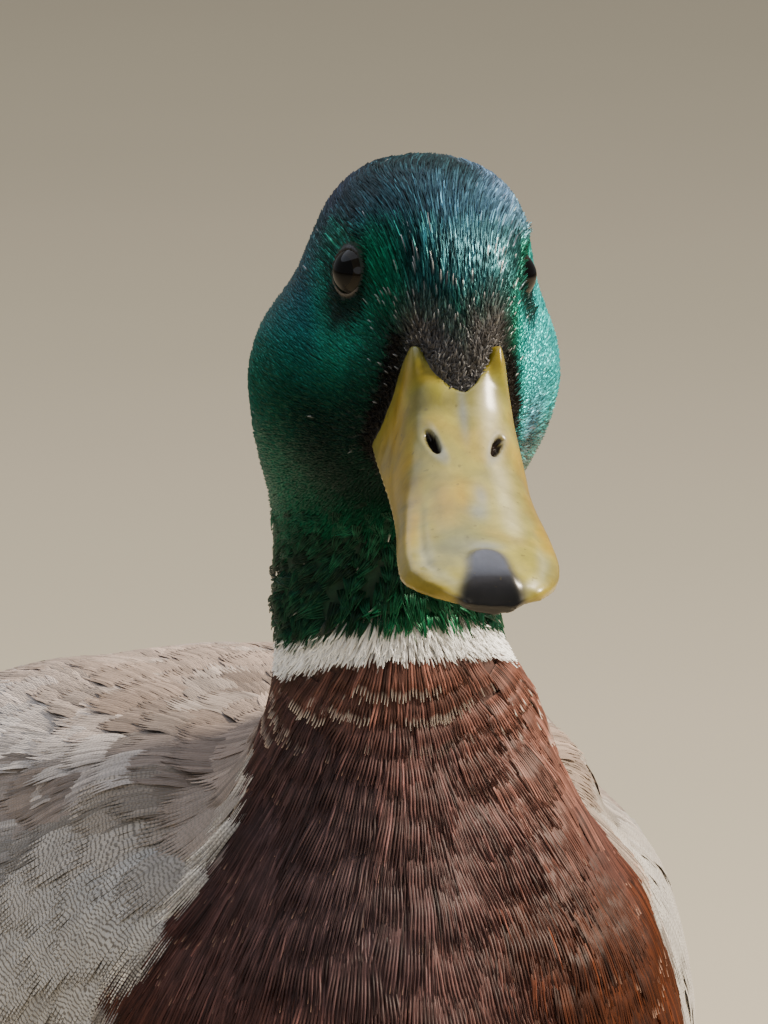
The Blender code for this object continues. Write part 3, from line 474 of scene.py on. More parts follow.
def makeSkin():
    solids = solidCopy(flesh + ["bill_upper", "bill_lower", "eye_left", "eye_right"], skinPlan["swell"] * mm)
    bm = remeshed(solids, skinPlan["voxel"] * mm)
    relax(bm, bm.verts, skinPlan["rounds"])
    relax(bm, [v for v in bm.verts if v.co.z < 0.215 or v.co.y > -0.09], skinPlan["bodyRounds"])
    bm.normal_update()
    points, normals = vertexArray(bm), normalArray(bm)
    x, y, z = (points * 1000).T
    above = aboveCollar(points * 1000)
    front = smooth(-60, -100, y)
    body, neck, face = (skinPlan[part + "Depth"] for part in ("body", "neck", "face"))
    depth = (body + (neck - body) * smooth(-14, 2, above) * front
             + (face - neck) * smooth(16, 34, above) * front)
    depth = np.where(z < 82, np.minimum(depth, skinPlan["thighDepth"]), depth)
    out, forward, up = toHead(points).T
    # fuller right cheek
    depth -= 1.0 * smooth(-7, -14, out) * smooth(-4, -14, up) * smooth(-3, 6, above) * front
    # fuller shoulders, left flank and left breast
    depth -= 2.6 * smooth(205, 213, z) * smooth(230, 224, z) * smooth(10, -40, y) * smooth(-114, -98, y)
    depth -= 2.4 * smooth(26, 42, x) * smooth(208, 194, z) * smooth(140, 160, z) * smooth(-30, -70, y)
    depth -= (4.6 * smooth(4, 22, x) * smooth(48, 30, x) * smooth(241, 226, z) * smooth(168, 192, z)
              * smooth(-84, -104, y))
    out, a, lift = toBill(points)
    horns = bell(np.abs(out), 7.3, 2.2) * bell(a, 0.5, 3) * smooth(11, 14, lift) * smooth(24, 21, lift)
    setVertices(bm, points - push(normals, depth + 0.6 * horns + skinPlan["swell"]))
    relax(bm, bm.verts, 2, 0.4)
    # the skin ends just inside the root of the bill
    ahead, drop = turned(1, 0, -pose["billSlope"])
    cut = skinPlan["billCut"]
    middle = inHead(0, pose["gape"][0] + cut * ahead, pose["gape"][1] + cut * drop)
    near = [f for f in bm.faces
            if (f.calc_center_median() - middle).length < 0.09 and f.calc_center_median().y < -0.15]
    # asked only for membership: lists keep one order, so every run grows the same coat
    chosen = set(near)
    lines = [e for e in bm.edges if not chosen.isdisjoint(e.link_faces)]
    spots = [v for v in bm.verts if not chosen.isdisjoint(v.link_faces)]
    bmesh.ops.bisect_plane(bm, geom=near + lines + spots, plane_co=middle,
                           plane_no=Vector(headWay(0, ahead, drop)), clear_outer=True)
    closeHoles(bm)
    bmesh.ops.recalc_face_normals(bm, faces=bm.faces)
    bm.normal_update()
    bm.verts.index_update()
    bm.faces.ensure_lookup_table()
    return bm


skinForm = makeSkin()
skinTree = BVHTree.FromBMesh(skinForm)
skinPoints, skinNormals = vertexArray(skinForm), normalArray(skinForm)
skinEdges = np.array([[v.index for v in e.verts] for e in skinForm.edges])
faceCorners = np.array([[f.verts[i].index for i in (0, 1, 2, -1)] for f in skinForm.faces])
faceNormals = unit(skinNormals[faceCorners].mean(1))
faceAreas = np.array([f.calc_area() for f in skinForm.faces])
print("skin ready,", len(skinPoints), "points")


# the lie of the coat: away from the bill along the skin, and then towards the tail

def averaged(values, rounds):             # evens a value out over the skin
    a, b = skinEdges.T
    size = len(values)
    count = np.bincount(a, minlength=size) + np.bincount(b, minlength=size) + 1.0
    for _ in range(rounds):
        columns = [(column + np.bincount(a, column[b], size) + np.bincount(b, column[a], size)) / count
                   for column in values.reshape(size, -1).T]
        values = np.stack(columns, 1).reshape(values.shape)
    return values


def distanceFromBill():
    # across each square too, so that the measure is even in every direction
    across = np.concatenate([faceCorners[:, [0, 2]], faceCorners[:, [1, 3]]])
    pairs = np.concatenate([skinEdges, across[across[:, 0] != across[:, 1]]])
    lengths = np.linalg.norm(skinPoints[pairs[:, 0]] - skinPoints[pairs[:, 1]], axis=1)
    links = [[] for _ in skinPoints]
    for (a, b), length in zip(pairs.tolist(), lengths.tolist()):
        links[a].append((b, length))
        links[b].append((a, length))
    best = [1e9] * len(skinPoints)
    queue = []
    for i in np.flatnonzero(skinPoints[:, 1] < -0.15).tolist():
        spot, normal, _, gap = billTree.find_nearest(Vector(skinPoints[i]))
        if gap < 0.4 * mm or (gap < 1.6 * mm and (Vector(skinPoints[i]) - spot).dot(normal) < 0):
            best[i] = 0.0
            queue.append((0.0, i))
    heapq.heapify(queue)
    while queue:
        so, i = heapq.heappop(queue)
        if so > best[i]:
            continue
        for j, length in links[i]:
            if so + length < best[j]:
                best[j] = so + length
                heapq.heappush(queue, (so + length, j))
    return np.array(best)


def lieOfCoat():
    a, b = skinEdges.T
    step = skinPoints[b] - skinPoints[a]
    evened = averaged(fromBill, 12)
    slope = (evened[b] - evened[a]) / np.maximum((step ** 2).sum(1), 1e-12)
    size = len(skinPoints)
    lie = unit(np.stack([np.bincount(a, pull, size) + np.bincount(b, pull, size)
                         for pull in (step * slope[:, None]).T], 1))
    out, forward, up = toHead(skinPoints).T
    fan = 0.9 * np.clip(out / 8, -1, 1) * smooth(-3, 7, up) * smooth(-14, -4, forward)
    lie = unit(lie + headWay(1, 0, 0) * fan[:, None])
    rear = smooth(-100, -50, skinPoints[:, 1] * 1000)[:, None]
    lie = unit(lie * (1 - 0.8 * rear) + np.array((0, 1.0, -0.06)) * 0.8 * rear)
    low = smooth(92, 78, skinPoints[:, 2] * 1000)[:, None]        # the thighs' feathers hang
    lie = unit(lie * (1 - low) + np.array((0, 0.35, -1.0)) * low)
    for _ in range(4):
        lie = averaged(lie, 4)
        lie = unit(lie - skinNormals * (lie * skinNormals).sum(1, keepdims=True))
    return lie


fromBill = distanceFromBill()
faceLie = unit(lieOfCoat()[faceCorners].mean(1))
faceDistance = fromBill[faceCorners].mean(1)
faceCentres = skinPoints[faceCorners].mean(1)
print("lie of the coat ready")


# markings, shared by the skin and every feather

plumage = {
    "headGreen": "#0b5f48", "underBillShadow": "#01110b", "cheekJade": "#086c58", "chinDark": "#122a22",
    "napeBlue": "#0b3346",
    "litCheekSheen": "#2a9fa2", "cheekSteel": "#4a5f7c", "jawShade": "#0d2b2a", "crownSlate": "#1c313a",
    "crownSheenTeal": "#6897b2", "crownSheenViolet": "#6673a6", "rimSheenViolet": "#26263c", "besideEye": "#0a5f35",
    "browSmoke": "#4d4b4d", "billEdgeShade": "#0d0b0a", "eyeHollowShade": "#0f1210", "neckGreen": "#053f2b",
    "neckDeep": "#031f14", "neckBright": "#1c7a4e", "collarWhite": "#f5f6f6",
    "breastPlum": "#4f3532", "breastSheen": "#6e4a40", "breastRust": "#3a1a09", "necklace": "#5c3b31",
    "sideRust": "#3a1b10", "chestShade": "#302a2e", "rustFleck": "#6a3a28", "plumFleck": "#33262a",
    "flankPearl": "#b6b3af", "bellyPearl": "#bfbbb3", "flankWarm": "#b3a698", "mantleTaupe": "#90827a",
    "mantleTan": "#a98f7c", "gapShadow": "#30231b", "edgeShadow": "#54432f", "mantleDark": "#6b594b",
    "mantlePale": "#d0c4ba", "shoulder": "#88766a", "fringe": "#cfcac2", "backPale": "#d8d0ca",
    "sidePatch": "#dcd8d0", "rumpBlack": "#0c0f12", "ventBlack": "#0b0b0d",
}
# y and z in mm, where the mantle overhangs the flank, along which a painted shadow runs
gapLine = ((-107, 211.5), (-91, 217.6), (-72, 222))
# y and z in mm, the flank's front edge, marked with a painted shadow
edgeLine = ((-91, 217), (-103, 212), (-110, 207), (-117, 200.4), (-119, 195), (-123, 185))


def toLine(y, z, line):       # distance in mm from a run of places seen from the side
    best = np.full(len(y), 1e9)
    for (ay, az), (by, bz) in zip(line, line[1:]):
        t = np.clip(((y - ay) * (by - ay) + (z - az) * (bz - az)) / ((by - ay) ** 2 + (bz - az) ** 2), 0, 1)
        best = np.minimum(best, np.hypot(y - ay - t * (by - ay), z - az - t * (bz - az)))
    return best


# height in mm over the line where the flank feathers end and the folded wing shows
def aboveFlank(p):
    line = np.interp(p[:, 1], (-118, -106, -88, -50, 0, 50, 85, 110),
                     (214, 209, 198, 184, 172, 165, 162, 160))
    return p[:, 2] - line


def behindBreast(p):          # how far in mm a place lies behind the chestnut breast's edge
    x, y, z = p.T
    edge = (0.34 * np.clip(176 - z, 0, 80) + 4 * smooth(12, 32, x) + 4 * smooth(198, 186, z)
            + 16 * smooth(218, 230, z))
    return y + 124.5 - edge


def markings(points, distance):           # colour and strength of the fine wavy lines, for places in metres
    p, h, d = points * 1000, toHead(points), distance * 1000
    x, y, z = p.T
    out, forward, up = h.T
    aside = np.abs(out)
    inFront = y < -90
    ruffle = 0.9 * np.sin(x * 1.9 + z * 0.7) * np.sin(y * 1.3 + 2.0)
    clump = np.sin(x * 1.1 + z * 0.8) * np.sin(y * 0.9 + z * 1.3)
    above = aboveCollar(p) + ruffle * 0.5
    cap = np.maximum(0.95 * smooth(3, 9, up + 0.1 * aside),
                     0.8 * smooth(-9, 1, up) * smooth(-9.5, -6, out) * smooth(12, 9, out))
    # a stripe of painted sheen down the crown's middle
    crownSheenStripe = 0.16 * smooth(8, 2, np.abs(out - 2)) * smooth(-2, 6, up) * smooth(-2, 8, forward)
    # near-black band along the bill's sides, wider on the left: painted shade where the feathers meet the
    # bill
    lores = (smooth(3.8, 1.6, d + 0.6 * ruffle - 2.2 * smooth(0, 6, out))
             * smooth(5.5, 8, aside + np.clip(-up - 16, 0, 9)))
    eyes = [np.linalg.norm((h - (side * 15.2, 3.6, -2.2)) * (1, 1, 0.9), axis=1) for side in (1, -1)]
    head = painted("headGreen", [
        # near-black lower face under the bill, except on the left cheek: painted shadow
        ("underBillShadow", 0.9 * smooth(-9, -24, up) * smooth(-22, 2, forward) * smooth(9, 4, out)),
        ("cheekJade", 0.8 * smooth(-8, -14, out) * smooth(3, -3, up) * smooth(-20, -9, up)),
        ("chinDark", 0.7 * smooth(12, 4, d) * smooth(0, -6, up)),
        ("napeBlue", 0.7 * smooth(-15, -18, out) * smooth(-22, -6, up)),
        # bright turquoise on the left cheek, the lamp's side: painted sheen
        ("litCheekSheen", 0.95 * smooth(9, 14, out) * smooth(3, -5, up) * smooth(-34, -26, up)),
        ("cheekSteel", 0.75 * smooth(11, 14, out) * bell(up, -23, 5) * bell(forward, 3, 6)),
        ("jawShade", 0.7 * smooth(9, 13, out) * smooth(-20, -26, up)),
        ("crownSlate", cap),
        # teal and violet on the crown's top, stronger on the left, the lamp's side: painted sheen
        ("crownSheenTeal", 0.8 * smooth(3, 12, out) * smooth(3.5, 10, up) + crownSheenStripe),
        ("crownSheenViolet", 0.4 * smooth(6, 13, up) * smooth(2, 12, out)),
        # dark violet on the right side's upper back edge, away from the lamp: painted grazing sheen
        ("rimSheenViolet", 0.7 * smooth(-9, -17, out + 0.3 * forward) * smooth(-12, 4, up)
         * smooth(2, -9, forward)),
        ("besideEye", 0.3 * bell(out, -11.5, 3) * bell(up, 1, 5.5) * smooth(2, 8, forward)),
        ("browSmoke", 0.95 * smooth(9.5, 3, d + ruffle) * smooth(-21, -17, up) * smooth(9.2, 6, aside)),
        ("billEdgeShade", lores),
        # dark round each eye: painted shade in the eye's hollow
        *(("eyeHollowShade", 0.9 * smooth(8.6, 4.8, eye + 0.4 * ruffle)) for eye in eyes),
        ("neckGreen", smooth(28, 14, above) * inFront),
        ("neckDeep", (0.3 + 0.45 * clump) * smooth(30, 14, above) * inFront * smooth(16, 4, out)),
        ("neckBright", 0.5 * smooth(13, 5, above) * smooth(9, 3, np.abs(out - 3)) * inFront),
        ("collarWhite", smooth(5.4, 4.6, above) * inFront)], plumage)

    overFlank, border = aboveFlank(p), behindBreast(p)
    blotch = np.sin(y * 0.55 + x * 0.3) * np.sin(x * 0.6 + z * 0.4)
    onBack = smooth(2, 9, overFlank) * smooth(40, 0, y)
    shoulder = smooth(192, 200, z) * smooth(1.5, -1.5, y - np.interp(z, *np.array(edgeLine)[::-1, ::-1].T))
    rump = smooth(88, 94, y + ruffle * 2) * smooth(160, 168, z)
    vent = smooth(100, 106, y + ruffle * 2 + 0.25 * (150 - z))
    body = painted("flankPearl", [
        ("bellyPearl", smooth(140, 110, z)),
        ("flankWarm", 0.7 * smooth(-16, -2, overFlank) * smooth(-70, -110, y)),
        ("mantleTaupe", smooth(0, 9, overFlank) * smooth(100, 60, y)),
        ("mantleTan", 0.5 * smooth(212, 220, z) * smooth(0, -40, y)),
        # two dark brown bands, along the flank's upper edge and under the mantle's edge: painted shadow
        ("gapShadow", 0.5 * smooth(2.4, 0.8, np.abs(overFlank - 0.8)) * smooth(-56, -84, y)),
        ("gapShadow", 0.5 * smooth(3.4, 1.2, toLine(y, z, gapLine) + ruffle * 0.6)),
        # dark brown along the flank's front edge: painted shadow between the feather groups
        ("edgeShadow", 0.35 * smooth(2.6, 0.8, toLine(y, z, edgeLine) + ruffle * 0.6)),
        ("mantleDark", 0.32 * smooth(0.1, 0.7, blotch) * onBack),
        ("mantlePale", 0.35 * smooth(-0.1, -0.7, blotch) * onBack * smooth(204, 216, z)),
        ("shoulder", 0.75 * shoulder),
        ("fringe", 0.75 * smooth(8, 3, border + ruffle) * smooth(225, 214, z) * smooth(5, -5, x)),
        ("backPale", 0.65 * onBack * smooth(-28, -44, x) * smooth(206, 214, z)),
        ("sidePatch", smooth(66, 76, y) * smooth(176, 168, z)),
        ("rumpBlack", rump),
        ("ventBlack", vent * (1 - rump))], plumage)
    worm = ((0.9 - 0.6 * smooth(0, 9, overFlank)) * (1 - 0.6 * shoulder)
            * (1 - 0.45 * smooth(20, 34, x) * smooth(-20, -60, y)))
    worm = worm * (1 - np.maximum(rump, vent)) * (1 - 0.7 * smooth(66, 76, y))

    mottled = np.sin(x * 0.33 + 1.7) * np.sin(z * 0.27 + x * 0.11) + 0.5 * np.sin(x * 0.7 - z * 0.5)
    rusty = np.maximum(smooth(216, 196, z) * smooth(-2, 20, x), smooth(194, 174, z))
    chest = painted("breastPlum", [
        # pinkish brown high on the left of the breast, the lamp's side: painted sheen
        ("breastSheen", 0.8 * smooth(4, 20, x) * smooth(206, 216, z) * smooth(234, 228, z)),
        ("breastRust", rusty),
        ("necklace", 0.7 * smooth(222, 231, z)),
        ("sideRust", 0.7 * smooth(-10, -3, border) * smooth(-8, -24, x)),
        ("chestShade", 0.6 * bell(x, -14, 13) * bell(z, 205, 26)),
        ("rustFleck", 0.25 * smooth(0.3, 1.0, mottled) * smooth(-10, 20, x) * smooth(190, 205, z)),
        ("plumFleck", 0.3 * smooth(-0.2, -0.9, mottled) * smooth(20, -5, x))], plumage)
    breast = smooth(1.2, -1.2, border + ruffle * 1.2)
    body += (chest - body) * breast[:, None]
    below = np.where(inFront, smooth(0.2, -0.7, above), 1)
    return head + (body - head) * below[:, None], worm * (1 - breast) * below


def skinMaterial():
    # bare quill-set skin over fat: dull, in the colour of the feathers rooted in it but darkened as painted
    # shade in the gaps between them
    skin, tree, where = newMaterial("feathered skin")
    tint = addNode(tree, "Attribute", {"attribute_name": "tint"})
    down = addNode(tree, "TexNoise", {"Scale": 900.0, "Detail": 3.0, "Vector": where})
    # darkened to 0.45 to 0.85 of the tint: painted shade in the gaps between feathers
    dark = addNode(tree, "MapRange", {"To Min": 0.45, "To Max": 0.85, "Value": down})
    tone = addNode(tree, "Mix", {"data_type": "RGBA", "blend_type": "MULTIPLY", 0: 1.0, 6: tint, 7: dark})
    bump = addNode(tree, "Bump", {"Strength": 0.4, "Distance": 0.0004, "Height": down})
    finishShader(tree, {"Base Color": tone.outputs[2], "Roughness": 0.85, "Normal": bump})
    return skin


skin = keep("skin", skinForm, skinMaterial(), flesh)
paintTint(skin.data, *markings(skinPoints, fromBill))
print("skin placed")


# feathers: one flat blade, combed over the skin many times

# triangles in a piece; size of a feather's patch on the bake map
coatPlan = {"most": 190000, "patch": 0.003,
            "spine": ((-168, 284), (-142, 285), (-126, 262), (-124, 236), (-108, 195), (-78, 160), (0, 152),
                      (80, 153), (150, 160), (216, 168))}       # y and z in mm


def blade(across, along, count):          # u from -1 to 1 across, v from 0 at the root to 1 at the tip
    bm = bmesh.new()
    bmesh.ops.create_grid(bm, x_segments=across, y_segments=along, size=1)
    bm.verts.index_update()
    flat = vertexArray(bm)
    faces = np.array([[v.index for v in f.verts] for f in bm.faces])
    bm.free()
    size = (count, len(flat))
    return np.broadcast_to(flat[:, 0], size), np.broadcast_to((flat[:, 1] + 1) / 2, size), faces


# places on the skin at least spacing apart, in metres for each face; 0 grows nothing
def scatter(spacing, seed):
    rng = np.random.default_rng(seed)
    wanted = np.where(spacing > 0, faceAreas / np.maximum(spacing, 1e-5) ** 2 * 2.6, 0)
    face = np.repeat(np.arange(len(wanted)), rng.poisson(wanted))
    rng.shuffle(face)
    a, b = rng.random((2, len(face)))[..., None]
    q = skinPoints[faceCorners[face]]
    points = (q[:, 0] * (1 - a) + q[:, 1] * a) * (1 - b) + (q[:, 3] * (1 - a) + q[:, 2] * a) * b
    keys = np.floor(points / float(spacing.max())).astype(int).tolist()
    held, kept = {}, []
    steps = (-1, 0, 1)
    for n, ((i, j, k), (x, y, z), room) in enumerate(zip(keys, points.tolist(),
                                                         (spacing[face] ** 2).tolist())):
        around = (spot for di in steps for dj in steps for dk in steps
                  for spot in held.get((i + di, j + dj, k + dk), ()))
        if all((ox - x) ** 2 + (oy - y) ** 2 + (oz - z) ** 2 >= room for ox, oy, oz in around):
            held.setdefault((i, j, k), []).append((x, y, z))
            kept.append(n)
    return points[kept], face[kept]


# each feather's path on the skin, with its normals and sides
def comb(points, faces, lengths, steps, sway):
    path, ups = [points], [faceNormals[faces]]
    here, at = points.copy(), faces.copy()
    turn = np.stack([np.cos(sway), np.sin(sway)], 1)
    pace = lengths / steps
    for _ in range(steps):
        lie, up = faceLie[at], faceNormals[at]
        way = lie * turn[:, :1] + np.cross(up, lie) * turn[:, 1:]
        found = [skinTree.find_nearest(Vector(m)) for m in here + way * pace[:, None]]
        here = np.array([f[0][:] for f in found])
        at = np.array([f[2] for f in found])
        path.append(here)
        ups.append(faceNormals[at])
    path, ups = np.stack(path, 1), np.stack(ups, 1)
    ways = unit(np.diff(path, axis=1))
    ways = unit(np.concatenate([ways[:, :1], (ways[:, 1:] + ways[:, :-1]), ways[:, -1:]], 1))
    return squared(path, ups, ways)


def squared(path, ups, ways=None):        # ups set square to the path, and the sides across it
    ways = unit(np.gradient(path, axis=1)) if ways is None else ways
    ups = unit(ups - ways * (ups * ways).sum(2, keepdims=True))
    return path, ups, np.cross(ways, ups)


def along(values, t):         # values at stations, read at t from 0 to 1 for each blade point
    last = values.shape[1] - 1
    spot = np.clip(t, 0, 1) * last
    low = np.minimum(spot.astype(int), last - 1)
    share = (spot - low)[..., None]
    rows = np.arange(len(values))[:, None]
    return values[rows, low] * (1 - share) + values[rows, low + 1] * share


def blades(paths, u, v, halfWidth, offset, reach, height):    # world places of each blade's points
    spot, up, side = (along(values, v * reach) for values in paths)
    return spot + side * (offset + u * halfWidth)[..., None] + unit(up) * height[..., None]


def bakeMap(points, distance):            # where a root lies on the skin unrolled about the spine
    spine = np.array(coatPlan["spine"]) * mm
    best = np.full(len(points), 1e9)
    angle = np.zeros(len(points))
    for a, b in zip(spine, spine[1:]):
        long = np.linalg.norm(b - a)
        way = (b - a) / long
        t = np.clip((points[:, 1:] - a) @ way, 0, long)
        off = points[:, 1:] - a - t[:, None] * way
        gap = np.linalg.norm(off, axis=1)
        angle = np.where(gap < best, np.arctan2(points[:, 0], off @ (-way[1], way[0])), angle)
        best = np.minimum(best, gap)
    return np.stack([angle / (2 * math.pi) + 0.5, distance], 1)


def fitMap(rootMap):
    low, high = rootMap.min(0), rootMap.max(0)
    return 0.005 + (rootMap - low) / np.maximum(high - low, 1e-6) * 0.985


def layCoat(name, points, shape, tint, rootMap, material, cadNodes=()):
    # joins the blades into pieces of under 200,000 triangles; points is blades x blade points x 3
    u, v, faces = shape
    count, size = points.shape[:2]
    corners = faces.shape[1]
    total = count * len(faces) * (corners - 2)
    pieces = max(1, math.ceil(total / coatPlan["most"]))
    vane = np.stack([(u[0] + 1) / 2, v[0]], 1)
    made = []
    for n, chosen in enumerate(np.array_split(np.argsort(rootMap[:, 1], kind="stable"), pieces)):
        loops = (faces[None] + (np.arange(len(chosen)) * size)[:, None, None]).reshape(-1)
        mesh = bpy.data.meshes.new(name)
        mesh.vertices.add(len(chosen) * size)
        mesh.vertices.foreach_set("co", points[chosen].astype(np.float32).ravel())
        mesh.loops.add(len(loops))
        mesh.loops.foreach_set("vertex_index", loops.astype(np.int32))
        mesh.polygons.add(len(loops) // corners)
        mesh.polygons.foreach_set("loop_start", np.arange(0, len(loops), corners, dtype=np.int32))
        mesh.update(calc_edges=True)
        mesh.polygons.foreach_set("use_smooth", [True] * len(mesh.polygons))
        paintTint(mesh, tint[chosen, :, :3].reshape(-1, 3), tint[chosen, :, 3].ravel())
        onVane = np.broadcast_to(vane, (len(chosen), size, 2))
        patch = fitMap(rootMap[chosen])[:, None] + (onVane - (0.5, 0)) * coatPlan["patch"]
        for layer, values in (("vane", onVane), ("OFBake", patch)):
            flat = np.ascontiguousarray(values.reshape(-1, 2)[loops], np.float32)
            mesh.uv_layers.new(name=layer).data.foreach_set("uv", flat.ravel())
        mesh.uv_layers["OFBake"].active_render = True
        mesh.validate()
        made.append(place(name + (str(n + 1) if pieces > 1 else ""), mesh, material, () if n else cadNodes))
    print(name, count, "blades,", total, "triangles")
    return made


# room for each blade point's colour, with the strength of the wavy lines as alpha
def tinted(colour, alpha, u):
    tint = np.empty((*u.shape, 4))
    tint[..., :3], tint[..., 3] = colour, alpha
    return tint


def lighten(tint, code, mask):
    tint[..., :3] += (linear(code) - tint[..., :3]) * mask[..., None]


def featherMaterial(name, roughness, metallic, sheen, wormDark, barbs, contrast, gloss=0.0, worms=18,
                    specular=0.4):
    # keratin barbs zipped into a vane: fine oblique ribs, a soft satin, and fine wavy dark lines by the
    # tint's alpha
    feather, tree, where = newMaterial(name)
    tint = addNode(tree, "Attribute", {"attribute_name": "tint"})
    vane = addNode(tree, "UVMap", {"uv_map": "vane"})
    parts = addNode(tree, "SeparateXYZ", {0: vane})
    aside = addNode(tree, "Math", {"operation": "SUBTRACT", 0: parts.outputs["X"], 1: 0.5})
    aside = addNode(tree, "Math", {"operation": "ABSOLUTE", 0: aside})
    slant = addNode(tree, "Math", {"operation": "MULTIPLY_ADD", 0: aside, 1: -0.55, 2: parts.outputs["Y"]})
    ribs = addNode(tree, "Math", {"operation": "MULTIPLY", 0: slant, 1: 2 * math.pi * barbs})
    ribs = addNode(tree, "Math", {"operation": "SINE", 0: ribs})
    mottle = addNode(tree, "TexNoise", {"Scale": 420.0, "Detail": 4.0, "Roughness": 0.65, "Vector": where})
    tone = addNode(tree, "MapRange", {"From Min": 0.25, "From Max": 0.75, "To Min": 1 - contrast,
                                      "To Max": 1 + contrast,
                                      "Value": mottle})
    base = addNode(tree, "Mix", {"data_type": "RGBA", "blend_type": "MULTIPLY", 0: 1.0, 6: tint, 7: tone})
    stray = addNode(tree, "TexNoise", {"Scale": 380.0, "Vector": where})
    bend = addNode(tree, "Math", {"operation": "MULTIPLY", 0: stray, 1: 13.0})
    wave = addNode(tree, "Math", {"operation": "MULTIPLY_ADD", 0: parts.outputs["Y"], 1: 2 * math.pi * worms,
                                  2: bend})
    wave = addNode(tree, "Math", {"operation": "SINE", 0: wave})
    line = addNode(tree, "MapRange", {"From Min": 0.0, "From Max": 0.9, "Value": wave})
    line = addNode(tree, "Math", {"operation": "MULTIPLY", 0: line, 1: tint.outputs["Alpha"]})
    lined = addNode(tree, "Mix", {"data_type": "RGBA", 0: line, 6: base.outputs[2], 7: wormDark})
    height = addNode(tree, "Math", {"operation": "MULTIPLY_ADD", 0: ribs, 1: 0.5, 2: mottle})
    bump = addNode(tree, "Bump", {"Strength": 0.35, "Distance": 0.00025, "Height": height})
    finishShader(tree, {"Base Color": lined.outputs[2], "Roughness": roughness, "Metallic": metallic,
                        "Normal": bump,
                        "Sheen Weight": sheen, "Sheen Roughness": 0.4, "Coat Weight": gloss,
                        "Coat Roughness": 0.25,
                        "Specular IOR Level": specular})
    return feather


headMaterial = featherMaterial("iridescent head barbs", 0.38, 0.6, 0.0, "#0b1512", 2, 0.25, specular=0.08)
neckMaterial = featherMaterial("glossy neck barbs", 0.42, 0.45, 0.0, "#0b1512", 2, 0.3, 0.04, specular=0.2)
breastMaterial = featherMaterial("chestnut breast barbs", 0.48, 0.0, 0.0, "#241512", 2, 0.25, specular=0.2)
bodyMaterial = featherMaterial("vermiculated body vane", 0.66, 0.0, 0.1, "#6a645d", 5, 0.12, worms=20,
                               specular=0.2)
vaneMaterial = featherMaterial("stiff flight vane", 0.5, 0.0, 0.08, "#4c4641", 40, 0.12, 0.06)
blackMaterial = featherMaterial("glossy black coverts", 0.35, 0.3, 0.1, "#060708", 14, 0.25, 0.2)
speculumMaterial = featherMaterial("iridescent speculum vane", 0.3, 0.55, 0.1, "#0b0b10", 40, 0.12, 0.15)


def eyeRing(points):          # how far in mm each place lies from the line of sight of the nearer eye
    h = toHead(points)
    best = np.full(len(points), 1e9)
    for side in (1, -1):
        turn = np.array((side, 1, 1))
        axis = unit(np.array(pose["eyeAxis"])) * turn
        off = h - np.array(pose["eyeCentre"]) * turn
        depth = off @ axis
        best = np.minimum(best, np.where(depth > -3, np.linalg.norm(off - depth[:, None] * axis, axis=1),
                                         1e9))
    return best


def clearOf(points, faces):   # leaves out roots under the bill and inside the eyelids
    good = eyeRing(points) > 4.4
    for i in np.flatnonzero(good & (points[:, 1] < -0.15)):
        spot, normal, _, gap = billTree.find_nearest(Vector(points[i]))
        if gap < 1.6 * mm and (Vector(points[i]) - spot).dot(normal) < 0.05 * mm:
            good[i] = False
    return points[good], faces[good]


def even(points, distance):   # spread of tone, share of pale tips and of tufts brightened as painted glints
    return 0.16, 0.0, 0.0


def tuftCoat(name, spacing, look, material, seed, rows=3, vary=even):
    # look gives, for places and their distance from the bill: length, half width, lift, sway and ridge, in mm
    # and radians
    rng = np.random.default_rng(seed + 100)
    points, faces = clearOf(*scatter(spacing * mm, seed))
    distance = faceDistance[faces]
    size = len(points)
    length, half, lift, sway, ridge = (np.broadcast_to(x, size) for x in look(points, distance))
    length = length * rng.uniform(0.8, 1.2, size)
    ahead = toHead(points)[:, 1] > pose["eyeCentre"][1]
    # none over the eye
    length = np.where(ahead, np.minimum(length, np.maximum(eyeRing(points) - 4.3, 0.7)), length)
    paths = comb(points, faces, length * mm, 3, sway * rng.normal(0, 1, size))
    u, v, quads = blade(2, rows, size)
    wide = (half * mm)[:, None] * np.clip(1.05 - v ** 3 * 0.85, 0.12, 1) * (0.75 + 0.25 * smooth(0, 0.3, v))
    high = (lift * rng.uniform(0.7, 1.25, size))[:, None] * v ** 0.8 + ridge[:, None] * (0.6 - np.abs(u))
    spots = blades(paths, u, v, wide, np.zeros_like(wide), np.ones_like(wide), high * mm)
    colour, worm = markings(points, distance)
    spread, pale, glintShare = vary(points, distance)
    shade = np.exp(rng.normal(0, 1, size) * spread)
    # darker towards the root: painted shade under the overlapping tufts
    tint = tinted(colour[:, None] * shade[:, None, None] * (0.78 + 0.32 * v)[..., None], worm[:, None], u)
    # painted glints: a share of tufts made brighter and paler
    lit = rng.random(size) < glintShare
    tint[lit, :, :3] = np.minimum(tint[lit, :, :3] * 1.8 + (0.09, 0.09, 0.12), 0.8)
    flecked = rng.random(size) < pale
    tint[flecked, :, :3] += (0.42 - tint[flecked, :, :3]) * smooth(0.55, 0.85, v[flecked])[..., None]
    layCoat(name, spots, (u, v, quads), tint, bakeMap(points, distance), material)


faceMm = faceCentres * 1000
faceAbove = aboveCollar(faceMm)
facePatchy = 3.0 * np.sin(faceMm[:, 0] * 0.8) * np.sin(faceMm[:, 1] * 0.9 + faceMm[:, 0] * 0.3)
inFront = faceMm[:, 1] < -90
onBreast = behindBreast(faceMm) < 1.0
zones = {
    "head": inFront & (faceAbove > 19 + facePatchy),
    "neck": inFront & (faceAbove > 5.7) & (faceAbove < 22 + facePatchy),
    "collar": inFront & (faceAbove > -0.3) & (faceAbove < 6.0),
    "breast": ~(inFront & (faceAbove > -1.0)) & onBreast,
    "body": ~(inFront & (faceAbove > -1.2)) & ~onBreast,
}


